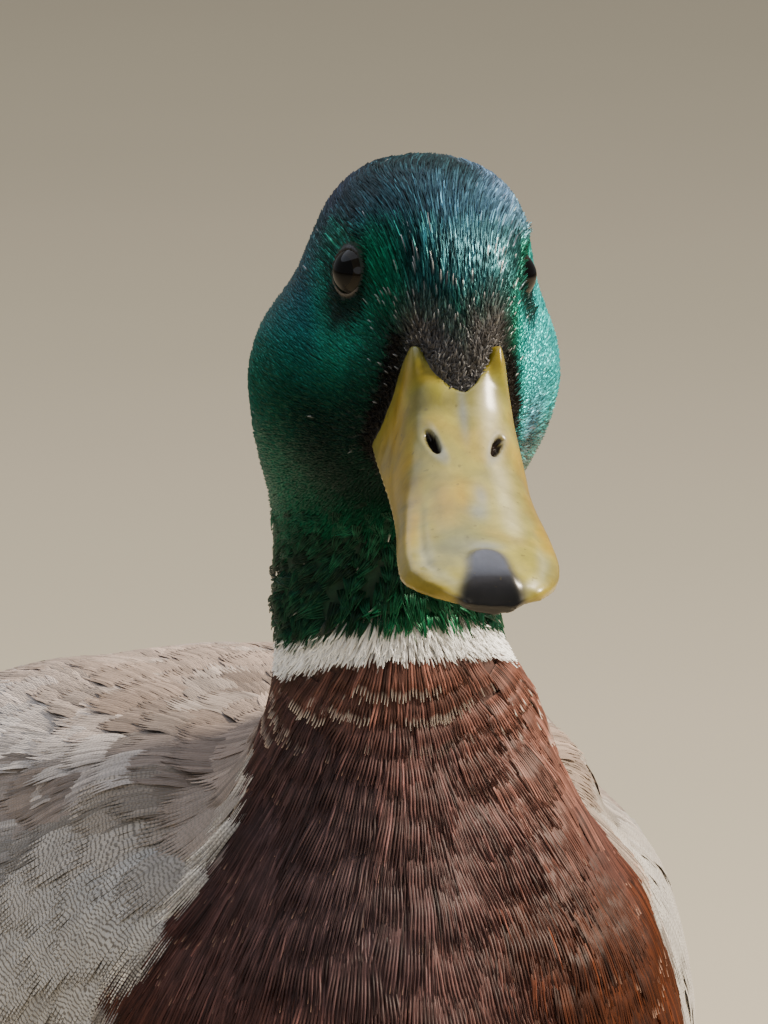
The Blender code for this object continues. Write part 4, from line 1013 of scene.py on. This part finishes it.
def makeHeadCoat():
    def look(points, distance):
        out, forward, up = toHead(points).T
        d = distance * 1000
        crown = smooth(-6, 6, up) * smooth(6, 14, d)
        length = 1.3 + 1.3 * smooth(2, 14, d) + 3.8 * crown + 1.4 * smooth(40, 62, d)
        half = 0.19 + 0.03 * smooth(2, 14, d) - 0.01 * crown + 0.08 * smooth(38, 60, d)
        brow = bell(eyeRing(points), 6.2, 1.4) * (forward > pose["eyeCentre"][1]) * (out > 0)
        lift = 0.45 + 0.15 * crown + 0.9 * smooth(36, 58, d) + 0.8 * brow
        sway = 0.22 - 0.14 * smooth(2, 8, d) - 0.06 * crown + 0.12 * smooth(36, 60, d)
        return length, half, lift, sway, 0.13 + 0.07 * crown

    def vary(points, distance):
        out, forward, up = toHead(points).T
        d = distance * 1000
        crown = smooth(-6, 4, up) * smooth(6, 16, d)
        brow = smooth(-17, -13, up) * smooth(19, 9, d) * smooth(12, 8, np.abs(out))
        cheek = smooth(10, 14, out) * smooth(2, -5, up)
        spread = 0.14 + 0.45 * crown + 0.35 * brow + cheek * (0.16 + 0.5 * smooth(-16, -24, up))
        # the glinting tufts gather on the left cheek and the crown's left side, towards the lamp
        return spread, 0.0015 + 0.08 * brow, 0.08 * cheek + 0.12 * crown * smooth(0, 12, out)

    spacing = np.where(zones["head"], 0.43 + 0.12 * smooth(0.035, 0.06, faceDistance), 0)
    tuftCoat("headCoat", spacing, look, headMaterial, 11, 3, vary)


def makeBrowCoat():           # the shortest tufts of all, set round the bill's edge in every direction
    def look(points, distance):
        return 0.9, 0.16, 0.55, 1.2, 0.1
    tuftCoat("browCoat", np.where(zones["head"] & (faceDistance < 0.0022), 0.3, 0), look, neckMaterial, 14)


def makeCollarCoat():
    def look(points, distance):
        return 2.1 + 1.1 * smooth(0, 3, aboveCollar(points * 1000)), 0.2, 1.0, 0.22, 0.12
    tuftCoat("collarCoat", np.where(zones["collar"], 0.38, 0), look, bodyMaterial, 13, 4)


makeHeadCoat()
makeBrowCoat()
makeCollarCoat()


# neck, breast and body: each feather a fan of fine parallel strands

def fanCoat(name, spacing, plan, look, material, seed, tips=None):
    # look gives, for places and their distance from the bill: length in mm, scale across and share of the
    # lift
    rng = np.random.default_rng(seed + 100)
    points, faces = clearOf(*scatter(spacing * mm, seed))
    distance = faceDistance[faces]
    size, n = len(points), plan["strands"]
    length, scale, stand = (np.broadcast_to(x, size) for x in look(points, distance))
    length = length * rng.uniform(0.9, 1.1, size)
    paths = comb(points, faces, length * mm, plan["steps"], rng.normal(0, plan["sway"], size))
    row = np.arange(n) - (n - 1) / 2
    pitch = plan["pitch"] * mm
    offsets = row * pitch * scale[:, None] + rng.normal(0, pitch * 0.07, (size, n))
    arc = np.sqrt(np.clip(1 - (row / (n / 2 + 0.6)) ** 2, 0, 1))
    ragged = rng.uniform(1 - plan["ragged"], 1 + plan["ragged"] * 0.3, (size, n))
    reach = (plan["square"] + (1 - plan["square"]) * arc) * ragged
    rows = np.repeat(np.arange(size), n)          # the feather that each strand belongs to
    u, v, quads = blade(2, plan["rows"], len(rows))
    v = 1 - (1 - v) ** 1.4                        # short last row, so that pale tips stay small
    rootSpread, tipSpread = plan["spread"]
    offset = offsets.reshape(-1, 1) * (rootSpread + (tipSpread - rootSpread) * smooth(0, 1.0, v))
    wide = ((plan["halfStrand"] * mm * scale[rows])[:, None]
            * np.clip(1.0 - 0.8 * smooth(0.7, 1.0, v), 0.18, 1))
    level = rng.uniform(-plan["stagger"], plan["stagger"], size)[rows][:, None]
    rise = (rng.uniform(0.8, 1.2, size) * stand)[rows][:, None] * plan["lift"] * smooth(-0.25, 0.55, v)
    camber = offset ** 2 / (2 * plan["camber"] * mm)
    height = (rise + level + plan["ridge"] * (1 - np.abs(u))) * mm - camber
    spots = blades([part[rows] for part in paths], u, v, wide, offset, reach.reshape(-1, 1), height)
    colour, worm = markings(paths[0][:, int(plan["steps"] * plan["markedAt"])], distance)
    shade = (rng.uniform(1 - plan["uneven"], 1 + plan["uneven"], size)[rows]
             * np.exp(rng.normal(0, plan["streak"], len(rows))))
    # darker towards the root: painted shade under the overlapping feathers
    rootShade = plan["root"] + (1.08 - plan["root"]) * v
    tint = tinted(colour[rows][:, None] * (shade[:, None] * rootShade)[..., None], worm[rows][:, None], u)
    if tips:
        tips(tint, points * 1000, rows, v, rng)
    rootMap = bakeMap(points, distance)[rows] + offsets.reshape(-1, 1) * (3, 0)
    layCoat(name, spots, (u, v, quads), tint, rootMap, material)


neckPlan = {"strands": 5, "pitch": 0.42, "halfStrand": 0.16, "lift": 1.3, "ridge": 0.12, "spread": (1.0, 0.5),
            "square": 0.7, "ragged": 0.5, "sway": 0.3, "stagger": 0.35, "camber": 30, "uneven": 0.4,
            "streak": 0.25,
            "root": 0.55, "markedAt": 0, "steps": 4, "rows": 4}
breastPlan = {"spacing": 3.3, "length": 14.0, "strands": 15, "pitch": 0.64, "halfStrand": 0.225, "lift": 0.95,
              "ridge": 0.18, "spread": (0.7, 1.0),
              "square": 0.8, "ragged": 0.14, "sway": 0.04, "stagger": 0.2, "camber": 42, "uneven": 0.12,
              "streak": 0.4,
              "root": 0.98, "markedAt": 0.34, "steps": 6, "rows": 5}
bodyPlan = {"strands": 13, "pitch": 0.8, "halfStrand": 0.48, "lift": 1.25, "ridge": 0.07,
            "spread": (0.85, 1.0),
            "square": 0.62, "ragged": 0.16, "sway": 0.06, "stagger": 0.1, "camber": 60, "uneven": 0.08,
            "streak": 0.07,
            "root": 0.82, "markedAt": 0.7, "steps": 5, "rows": 5}
backPlan = dict(bodyPlan, uneven=0.14, streak=0.18, square=0.5, lift=1.2)


def makeNeckCoat():           # loose clumps, with dark gaps between them
    def look(points, distance):
        above = aboveCollar(points * 1000)
        length = 4.4 - 1.6 * smooth(12, 22, above) - 1.0 * smooth(9, 5, above)
        return length, 1.0 - 0.25 * smooth(14, 24, above), 1 - 0.65 * smooth(10, 21, above)

    def tips(tint, p, rows, v, rng):
        chance = 0.004 + 0.05 * smooth(12, 4, aboveCollar(p)) * smooth(14, 6, np.abs(p[:, 0]))
        lit = rng.random(len(rows)) < chance[rows]
        tint[..., :3] += (0.35 - tint[..., :3]) * (smooth(0.7, 0.95, v) * lit[:, None])[..., None]

    fanCoat("neckCoat", np.where(zones["neck"], 1.2, 0), neckPlan, look, neckMaterial, 12,
            tips)


def makeBreastCoat():         # with pale tips
    def look(points, distance):
        z = points[:, 2] * 1000
        return (breastPlan["length"] * (0.45 + 0.55 * smooth(231, 212, z)),
                0.85 + 0.35 * smooth(225, 150, z), 1)

    def tips(tint, p, rows, v, rng):
        chance = 0.10 + 0.55 * smooth(222, 231, p[:, 2]) + 0.12 * smooth(0, 30, p[:, 0])
        strong = rng.random(len(p)) < 0.45
        lit = (rng.random(len(rows)) < (chance * np.where(strong, 1.8, 0.25))[rows])[:, None]
        lighten(tint, "#a08070", 0.8 * smooth(0.9, 0.98, v) * lit)
        lighten(tint, "#d8cdc4", 0.9 * smooth(0.75, 0.95, v) * lit * smooth(224, 233, p[:, 2])[rows][:, None])

    spacing = np.where(zones["breast"], breastPlan["spacing"] * (0.8 + 0.4 * smooth(225, 150, faceMm[:, 2])),
                       0)
    fanCoat("breastCoat", spacing, breastPlan, look, breastMaterial, 21, tips)


def makeBodyCoat():
    x, y, z = faceMm.T
    overFlank = aboveFlank(faceMm)
    dark = y > np.where(z > 164, 91, 103 - 0.25 * (150 - z))
    mantle = (overFlank > 1) & (y < 60)

    def flatter(x, y):        # the left flank lies closer, beside the breast
        return 1 - 0.5 * smooth(20, 32, x) * smooth(-20, -60, y)

    def look(points, distance):
        x, y, z = (points * 1000).T
        thigh, rear = smooth(90, 80, z), smooth(60, 120, y)
        return (17 + 5 * smooth(-110, -40, y) - 4 * rear - 9 * thigh,
                1 - 0.15 * rear - 0.45 * thigh, flatter(x, y))

    def longer(points, distance):
        x, y, z = (points * 1000).T
        return 15 + 12 * smooth(-90, -20, y), 0.85 + 0.4 * smooth(-80, -20, y), flatter(x, y)

    flank = zones["body"] & ~dark & ((overFlank < 4) | ~mantle)
    fanCoat("flankCoat", np.where(flank, 4.6 - 1.2 * smooth(90, 80, z), 0), bodyPlan, look, bodyMaterial,
            31)
    fanCoat("scapularCoat", np.where(zones["body"] & ~dark & mantle, 4.2, 0), backPlan, longer, bodyMaterial,
            33)
    fanCoat("rumpCoat", np.where(zones["body"] & dark, 5.0, 0), dict(bodyPlan, root=0.8), look, blackMaterial,
            32)


makeNeckCoat()
makeBreastCoat()
makeBodyCoat()


# wing and tail: long stiff vanes with a shaft, laid at listed places

def quillCoat(name, paths, look, colour, material, seed, cadNodes=(), across=6, rows=10, thick=0.3):
    # look gives half width, rise and camber along v in mm; colour gives the tint and the strength of the wavy
    # lines
    rng = np.random.default_rng(seed)
    count, stations = paths[0].shape[:2]
    u, v, quads = blade(across, rows, count)
    half, rise, camber = look(v)
    reach = 0.80 + 0.20 * np.sqrt(np.clip(1 - (np.abs(u) * 0.98) ** 2, 0, 1))
    high = rise + (0.5 * (1 - np.abs(u)) ** 2 - camber * u ** 2) * np.minimum(1, half / 5)
    spots = blades(paths, np.zeros_like(u), v, half * 0, u * half * mm, reach, high * mm)
    tint = tinted(*colour(np.broadcast_to(np.arange(count)[:, None], u.shape), u, v), u)
    tint[..., :3] *= rng.uniform(0.92, 1.08, (count, 1, 1))
    middle = paths[0][:, stations // 2]
    rootMap = np.stack([middle[:, 0] + np.arange(count) * 2e-4, middle[:, 1]], 1)
    for piece in layCoat(name, spots, (u, v, quads), tint, rootMap, material, cadNodes):
        wall = piece.modifiers.new("vane thickness", "SOLIDIFY")
        wall.thickness, wall.offset = thick * mm, -1


def onSkin(spots, lengths, steps):        # long feathers rooted at given places in mm, combed along the skin
    found = [skinTree.find_nearest(Vector(spot) * mm) for spot in spots]
    points, faces = np.array([f[0][:] for f in found]), np.array([f[2] for f in found])
    return comb(points, faces, np.array(lengths) * mm, steps, np.zeros(len(points)))


wingPlan = {                  # lower and upper edge of the folded wing's fan in mm, by y
    "y": (20, 50, 78.3, 107.3, 135.3, 159.3, 174.3, 180.3),
    "lowX": (62, 58, 51, 38, 26.5, 18, 13, 11), "lowZ": (158, 160, 163, 168.5, 173.5, 177, 178.7, 179.5),
    "highX": (16, 16, 15.5, 12, 9.8, 8.8, 8.6, 8.9),
    "highZ": (206, 203, 200, 193, 186.5, 182.5, 181.2, 180.8),
    "primaries": 9, "stations": 12, "rootY": 52, "tipY": 179,
    "tertialRoots": ((48, -22, 196), (44, -12, 202), (39, -4, 207), (33, 4, 211), (27, 12, 213)),
    "tertialLengths": (78, 84, 86, 84, 76),
    "speculumRoots": ((60, 4, 171), (58, 14, 173), (56, 24, 175), (53, 34, 177), (50, 43, 179)),
    "speculumLengths": (40, 40, 40, 39, 38),
}


def makePrimaries(name, side):
    order = np.arange(wingPlan["primaries"])
    tipY = wingPlan["tipY"] - 7.5 * order ** 1.05
    y = (np.linspace(0, 1, wingPlan["stations"])[None]
         * (tipY - wingPlan["rootY"])[:, None] + wingPlan["rootY"])
    low, high = (np.stack([np.interp(y, wingPlan["y"], wingPlan[edge + axis]) for axis in "XZ"], 2)
                 for edge in ("low", "high"))
    spot = low + (high - low) * np.linspace(0.10, 0.92, len(order))[:, None, None]
    chord = unit(high - low)
    ups = np.stack([chord[..., 1] * side, 0 * y, -chord[..., 0]], 2)
    stagger = ((order * 0.28 - 1.6) * mm)[:, None, None]
    path = np.stack([spot[..., 0] * side, y, spot[..., 1]], 2) * mm + ups * stagger

    def look(v):
        return 6.4 * (0.75 + 0.25 * smooth(0, 0.3, v)) * (1 - 0.55 * smooth(0.35, 1.0, v)), 0, 0.5

    def colour(n, u, v):
        edge, shaft = smooth(0.8, 0.98, np.abs(u)), smooth(0.12, 0.03, np.abs(u))
        return painted("#4d463f", [("#8f867b", 0.75 * edge), ("#2e2925", 0.7 * shaft)]), 0
    quillCoat(name + "Primaries", squared(path, ups), look, colour, vaneMaterial, 41,
              ["primaries_" + name])


def makeTertials(name, side):
    paths = onSkin([(side * x, y, z) for x, y, z in wingPlan["tertialRoots"]], wingPlan["tertialLengths"], 10)

    def look(v):
        return 8.6 * (0.5 + 0.5 * smooth(0, 0.35, v)) * (1 - 0.25 * smooth(0.6, 1, v)), 3.4 * v ** 0.6, 1.1

    def colour(n, u, v):
        shaft = smooth(0.1, 0.03, np.abs(u))
        return painted("#9b9187", [("#6d4c3a", 0.8 * smooth(0.1, 0.9, -u * side)),
                                   ("#c9c1b6", 0.6 * smooth(0.8, 1.0, u * side)),
                                   ("#4a4039", 0.7 * shaft)]), 0.25
    quillCoat(name + "Tertials", paths, look, colour, vaneMaterial, 42)


def makeSpeculum(name, side):
    paths = onSkin([(side * x, y, z) for x, y, z in wingPlan["speculumRoots"]], wingPlan["speculumLengths"],
                   8)

    def look(v):
        return 7.5 * (0.7 + 0.3 * smooth(0, 0.3, v)), 1.6 * v ** 0.7, 0.6

    def colour(n, u, v):      # from the root: grey, white, black, blue, black, white
        return painted("#8b837a", [("#ece8e0", smooth(0.28, 0.31, v) * smooth(0.38, 0.35, v)),
                                   ("#0b0b0f", smooth(0.36, 0.38, v)),
                                   ("#27389a", smooth(0.44, 0.48, v) * smooth(0.94, 0.91, v)),
                                   ("#efece4", smooth(0.965, 0.975, v))]), 0
    quillCoat(name + "Speculum", paths, look, colour, speculumMaterial, 43)


tailPlan = {"feathers": 18, "stations": 10, "rootY": 132, "tipY": 215, "rootZ": 158.2}


def makeTail():
    count, stations, root = tailPlan["feathers"], tailPlan["stations"], tailPlan["rootY"]
    k = np.linspace(-1, 1, count)
    k = k[np.argsort(-np.abs(k), kind="stable")]          # the middle feathers lie on top
    v = np.linspace(0, 1, stations)[None]
    y = root + v * (tailPlan["tipY"] - root - 22 * k ** 2)[:, None]
    x = (k * 9)[:, None] + (k * 23)[:, None] * v ** 1.15
    level = np.arange(count) * 0.22 - 2.2 - 3.0 * k ** 2
    path = np.stack([x, y, tailPlan["rootZ"] + (y - root) * 0.15 + level[:, None]], 2) * mm
    ups = np.broadcast_to(np.stack([k * 0.18, 0 * k, 0 * k + 1], 1)[:, None], (count, stations, 3))

    def look(v):
        return 6.0 * (0.6 + 0.4 * smooth(0, 0.4, v)) * (1 - 0.35 * smooth(0.7, 1, v)), 0, 0.7

    def colour(n, u, v):
        outer, edge, shaft = (smooth(0.15, 0.5, np.abs(k[n])), smooth(0.55, 0.9, np.abs(u)),
                              smooth(0.12, 0.04, np.abs(u)))
        return painted("#6f675d", [("#ddd8ce", np.maximum(0.85 * outer, edge)),
                                   ("#8f857a", 0.5 * shaft)]), 0.25 * (1 - outer)
    quillCoat("tailFeathers", squared(path, ups), look, colour, vaneMaterial, 44,
              ["tail_fan"])


curlPlan = {"stations": 26, "root": (148.3, 168.0), "run": 27.0, "rise": 20.0, "straight": 0.3, "sweep": 245,
            # radius, distance aside, tightening, lag
            "curls": ((12.5, 3.8, 1.0, 0.0), (10.2, 5.2, 0.88, 4.0))}


def makeCurls(name, side):    # each runs back and up, and then rolls forwards over itself
    run, rise, share = curlPlan["run"], curlPlan["rise"], curlPlan["straight"]
    t = np.linspace(0, 1, curlPlan["stations"])
    straight, rolled = np.clip(t / share, 0, 1), np.clip((t - share) / (1 - share), 0, 1)
    first = math.atan2(rise, run)
    heading = np.where(t < share, np.arctan2(rise * straight, run),
                       first + rolled * math.radians(curlPlan["sweep"]))
    path, ups = [], []
    for radius, aside, tight, lag in curlPlan["curls"]:
        loop = (radius - 4.0 * tight * rolled) * (t > share)
        y = curlPlan["root"][0] - lag + run * straight + loop * (np.sin(heading) - math.sin(first))
        z = curlPlan["root"][1] + rise / 2 * straight ** 2 + loop * (math.cos(first) - np.cos(heading))
        path.append(np.stack([side * (aside + 0.8 * t), y, z], 1) * mm)
        ups.append(np.stack([0 * t, -np.sin(heading), np.cos(heading)], 1))

    def look(v):
        return (3.0 * (0.55 + 0.45 * np.sin(math.pi * np.minimum(1, v + 0.25)))
                * (1 - 0.6 * smooth(0.8, 1, v)), 0, 0.25)

    def colour(n, u, v):
        return linear("#0c1413"), 0
    quillCoat(name + "Curls", squared(np.array(path), np.array(ups)), look, colour, blackMaterial,
              45,
              ["curl_" + name], 4, 24, 0.5)


for name, side in sides.items():
    makePrimaries(name, side)
    makeSpeculum(name, side)
    makeTertials(name, side)
    makeCurls(name, side)
makeTail()


# eyes

eyePlan = {"pupil": 2.3, "lidRadius": 3.15, "sink": {"left": 0.95, "right": 0.25}, "bulge": 0.35,
           "iris": "#211b10", "irisEdge": "#0e0a06", "lid": "#15110e", "lidEdge": "#8d8478",
           "wet": {"Roughness": 0.5, "Coat Weight": 0.65, "Coat Roughness": 0.03, "Coat IOR": 1.34,
                   "Specular IOR Level": 0.0},
           "lidProfile": ((0.15, 1.9), (-0.02, 2.35), (0.02, 2.8), (0.25, 3.0), (0.55, 2.85), (0.9, 2.3),
                          (1.5, 1.7),
                          (2.3, 0.7), (2.6, -0.4))}       # out from the lid's radius, and forward


def irisMaterial():
    # wet cornea over brown fibres
    iris, tree, where = newMaterial("hazel iris")
    fibres = addNode(tree, "TexNoise", {"Scale": 1600.0, "Detail": 3.0, "Vector": where})
    tone = addNode(tree, "Mix", {"data_type": "RGBA", 0: fibres, 6: eyePlan["irisEdge"], 7: eyePlan["iris"]})
    finishShader(tree, {"Base Color": tone.outputs[2], **eyePlan["wet"]})
    return iris


def pupilMaterial():
    # an opening that swallows light, under wet cornea
    pupil, tree, where = newMaterial("pupil")
    deep = addNode(tree, "TexNoise", {"Scale": 500.0, "Vector": where})
    tone = addNode(tree, "Mix", {"data_type": "RGBA", 0: deep, 6: "#020202", 7: "#070505"})
    finishShader(tree, {"Base Color": tone.outputs[2], **eyePlan["wet"]})
    return pupil


def lidMaterial():
    # thin wrinkled skin with a paler rim
    lid, tree, where = newMaterial("bare eyelid skin")
    folds = addNode(tree, "TexNoise", {"Scale": 1500.0, "Detail": 3.0, "Vector": where})
    tint = addNode(tree, "Attribute", {"attribute_name": "tint"})
    dapple = addNode(tree, "MapRange", {"To Min": 0.5, "To Max": 1.5, "Value": folds})
    tone = addNode(tree, "Mix", {"data_type": "RGBA", "blend_type": "MULTIPLY", 0: 1.0, 6: tint, 7: dapple})
    bump = addNode(tree, "Bump", {"Strength": 0.5, "Distance": 0.0002, "Height": folds})
    finishShader(tree, {"Base Color": tone.outputs[2], "Roughness": 0.55, "Normal": bump})
    return lid


def makeEyeball(name, seat, materials):
    bm = bmesh.new()
    bmesh.ops.create_uvsphere(bm, u_segments=48, v_segments=32, radius=pose["eyeRadius"] * mm)
    for v in bm.verts:        # the cornea bulges a little
        if v.co.z > 0:
            v.co.z += eyePlan["bulge"] * mm * math.exp(-(math.hypot(v.co.x, v.co.y) / mm / 2.4) ** 2)
    for f in bm.faces:
        x, y, z = f.calc_center_median()
        f.material_index = int(math.hypot(x, y) < eyePlan["pupil"] * mm and z > 0)
    bmesh.ops.transform(bm, matrix=seat, verts=bm.verts)
    keep(name + "Eye", bm, materials, ["eye_" + name])


# a rolled edge, then bare skin running down under the first feathers
def makeLid(name, seat, material):
    rim = eyePlan["lidRadius"]
    bm = bmesh.new()
    spots = [bm.verts.new(((rim + out) * mm, 0, forward * mm)) for out, forward in eyePlan["lidProfile"]]
    lines = [bm.edges.new(pair) for pair in zip(spots, spots[1:])]
    bmesh.ops.spin(bm, geom=spots + lines, cent=(0, 0, 0), axis=(0, 0, 1), angle=2 * math.pi, steps=64,
                   use_merge=True)
    lips = []
    # drawn out to a corner in front and behind, wrinkled, and with a paler lower edge
    for v in bm.verts:
        r, angle = math.hypot(v.co.x, v.co.y) / mm, math.atan2(v.co.y, v.co.x)
        corner = abs(math.cos(angle)) ** 8
        wrinkle = 0.05 * math.sin(angle * 31) + 0.04 * math.sin(angle * 17 + 2)
        grow = 1 + (0.13 * corner + wrinkle * 0.3) * max(0.0, 1 - abs(r - rim) / 2)
        v.co.x, v.co.y = v.co.x * grow, v.co.y * grow
        v.co.z -= (eyePlan["bulge"] * corner - wrinkle) * mm
        lips.append(bell(r, rim + 0.2, 0.22) * (0.04 + 0.96 * max(0.0, -math.sin(angle))))
    bmesh.ops.recalc_face_normals(bm, faces=bm.faces)
    bmesh.ops.transform(bm, matrix=seat, verts=bm.verts)
    lid = keep(name + "Lid", bm, material, ())
    paintTint(lid.data, painted("lid", [("lidEdge", 0.42 * np.array(lips))], eyePlan))


def makeEyes():
    eyeMaterials, lidSkin = [irisMaterial(), pupilMaterial()], lidMaterial()
    for name, side in sides.items():
        out, forward, up = pose["eyeCentre"]
        across, ahead, above = pose["eyeAxis"]
        axis = Vector(headWay(side * across, ahead, above))
        centre = inHead(side * out, forward, up) - axis * eyePlan["sink"][name] * mm
        seat = Matrix.Translation(centre) @ axis.to_track_quat("Z", "Y").to_matrix().to_4x4()
        makeEyeball(name, seat, eyeMaterials)
        makeLid(name, seat, lidSkin)


makeEyes()
print("eyes ready")


# legs and feet

# in mm
legPlan = {"voxel": 0.6, "clawLength": 7.0, "clawSet": (6.5, 3.2, 1.35), "knuckle": (31.0, -18.7),
           # splay and length
           "toes": {"inner": (-21.0, 39.0), "middle": (4.0, 51.0), "outer": (27.0, 47.0)},
           "orange": "#d9741f", "joint": "#b9581c", "crease": "#7d3514", "claw": "#2b211b",
           "clawPale": "#4a3a2e"}


def legMaterial():
    # small plates of horn on leathery skin: satin orange with fine dark creases
    scaled, tree, where = newMaterial("scaled leg skin")
    plates = addNode(tree, "TexVoronoi", {"Scale": 620.0, "feature": "DISTANCE_TO_EDGE", "Vector": where})
    crease = addNode(tree, "MapRange", {"From Min": 0.0, "From Max": 0.18,
                                        "Value": plates.outputs["Distance"]})
    blotch = addNode(tree, "TexNoise", {"Scale": 120.0, "Detail": 4.0, "Vector": where})
    body = addNode(tree, "Mix", {"data_type": "RGBA", 0: blotch, 6: legPlan["joint"], 7: legPlan["orange"]})
    tone = addNode(tree, "Mix", {"data_type": "RGBA", 0: crease, 6: legPlan["crease"], 7: body.outputs[2]})
    bump = addNode(tree, "Bump", {"Strength": 0.6, "Distance": 0.0004, "Height": crease})
    finishShader(tree, {"Base Color": tone.outputs[2], "Roughness": 0.45, "Normal": bump, "Coat Weight": 0.15,
                        "Subsurface Weight": 0.05, "Subsurface Radius": (0.002, 0.0008, 0.0004)})
    return scaled


def clawMaterial():
    # solid keratin, polished by wear
    horn, tree, where = newMaterial("claw horn")
    streak = addNode(tree, "TexNoise", {"Scale": 1200.0, "Vector": where})
    tone = addNode(tree, "Mix", {"data_type": "RGBA", 0: streak, 6: legPlan["claw"], 7: legPlan["clawPale"]})
    finishShader(tree, {"Base Color": tone.outputs[2], "Roughness": 0.35})
    return horn


def makeLeg(name, material):
    bm = remeshed(solidCopy(["shank_" + name, "foot_" + name], 0.2 * mm), legPlan["voxel"] * mm)
    relax(bm, bm.verts, 3)
    for v in bm.verts:        # a flat sole
        v.co.z = v.co.z if v.co.z > 0.35 * mm else 0.0
    keep(name + "Leg", bm, material, ["shank_" + name, "foot_" + name])


def makeClaws(name, side, material):
    back, out, lift = legPlan["clawSet"]
    knuckle = Vector((side * legPlan["knuckle"][0], legPlan["knuckle"][1], 0))
    bm = bmesh.new()
    for splay, length in legPlan["toes"].values():
        way = Vector((side * math.sin(math.radians(splay)), -math.cos(math.radians(splay)), 0))
        made = bmesh.ops.create_cone(bm, cap_ends=True, segments=14, radius1=1.45 * mm, radius2=0.25 * mm,
                                     depth=legPlan["clawLength"] * mm)["verts"]
        for v in made:
            v.co.x *= 0.75
        spot = Matrix.Translation((knuckle + way * (length - back + out) + Vector((0, 0, lift))) * mm)
        bmesh.ops.transform(bm, matrix=spot @ way.to_track_quat("Z", "Y").to_matrix().to_4x4(), verts=made)
    for v in bm.verts:
        v.co.z = max(v.co.z, 0.05 * mm)
    bmesh.ops.recalc_face_normals(bm, faces=bm.faces)
    keep(name + "Claws", bm, material, ())


legSkin, clawHorn = legMaterial(), clawMaterial()
for name, side in sides.items():
    makeLeg(name, legSkin)
    makeClaws(name, side, clawHorn)
print("legs ready")
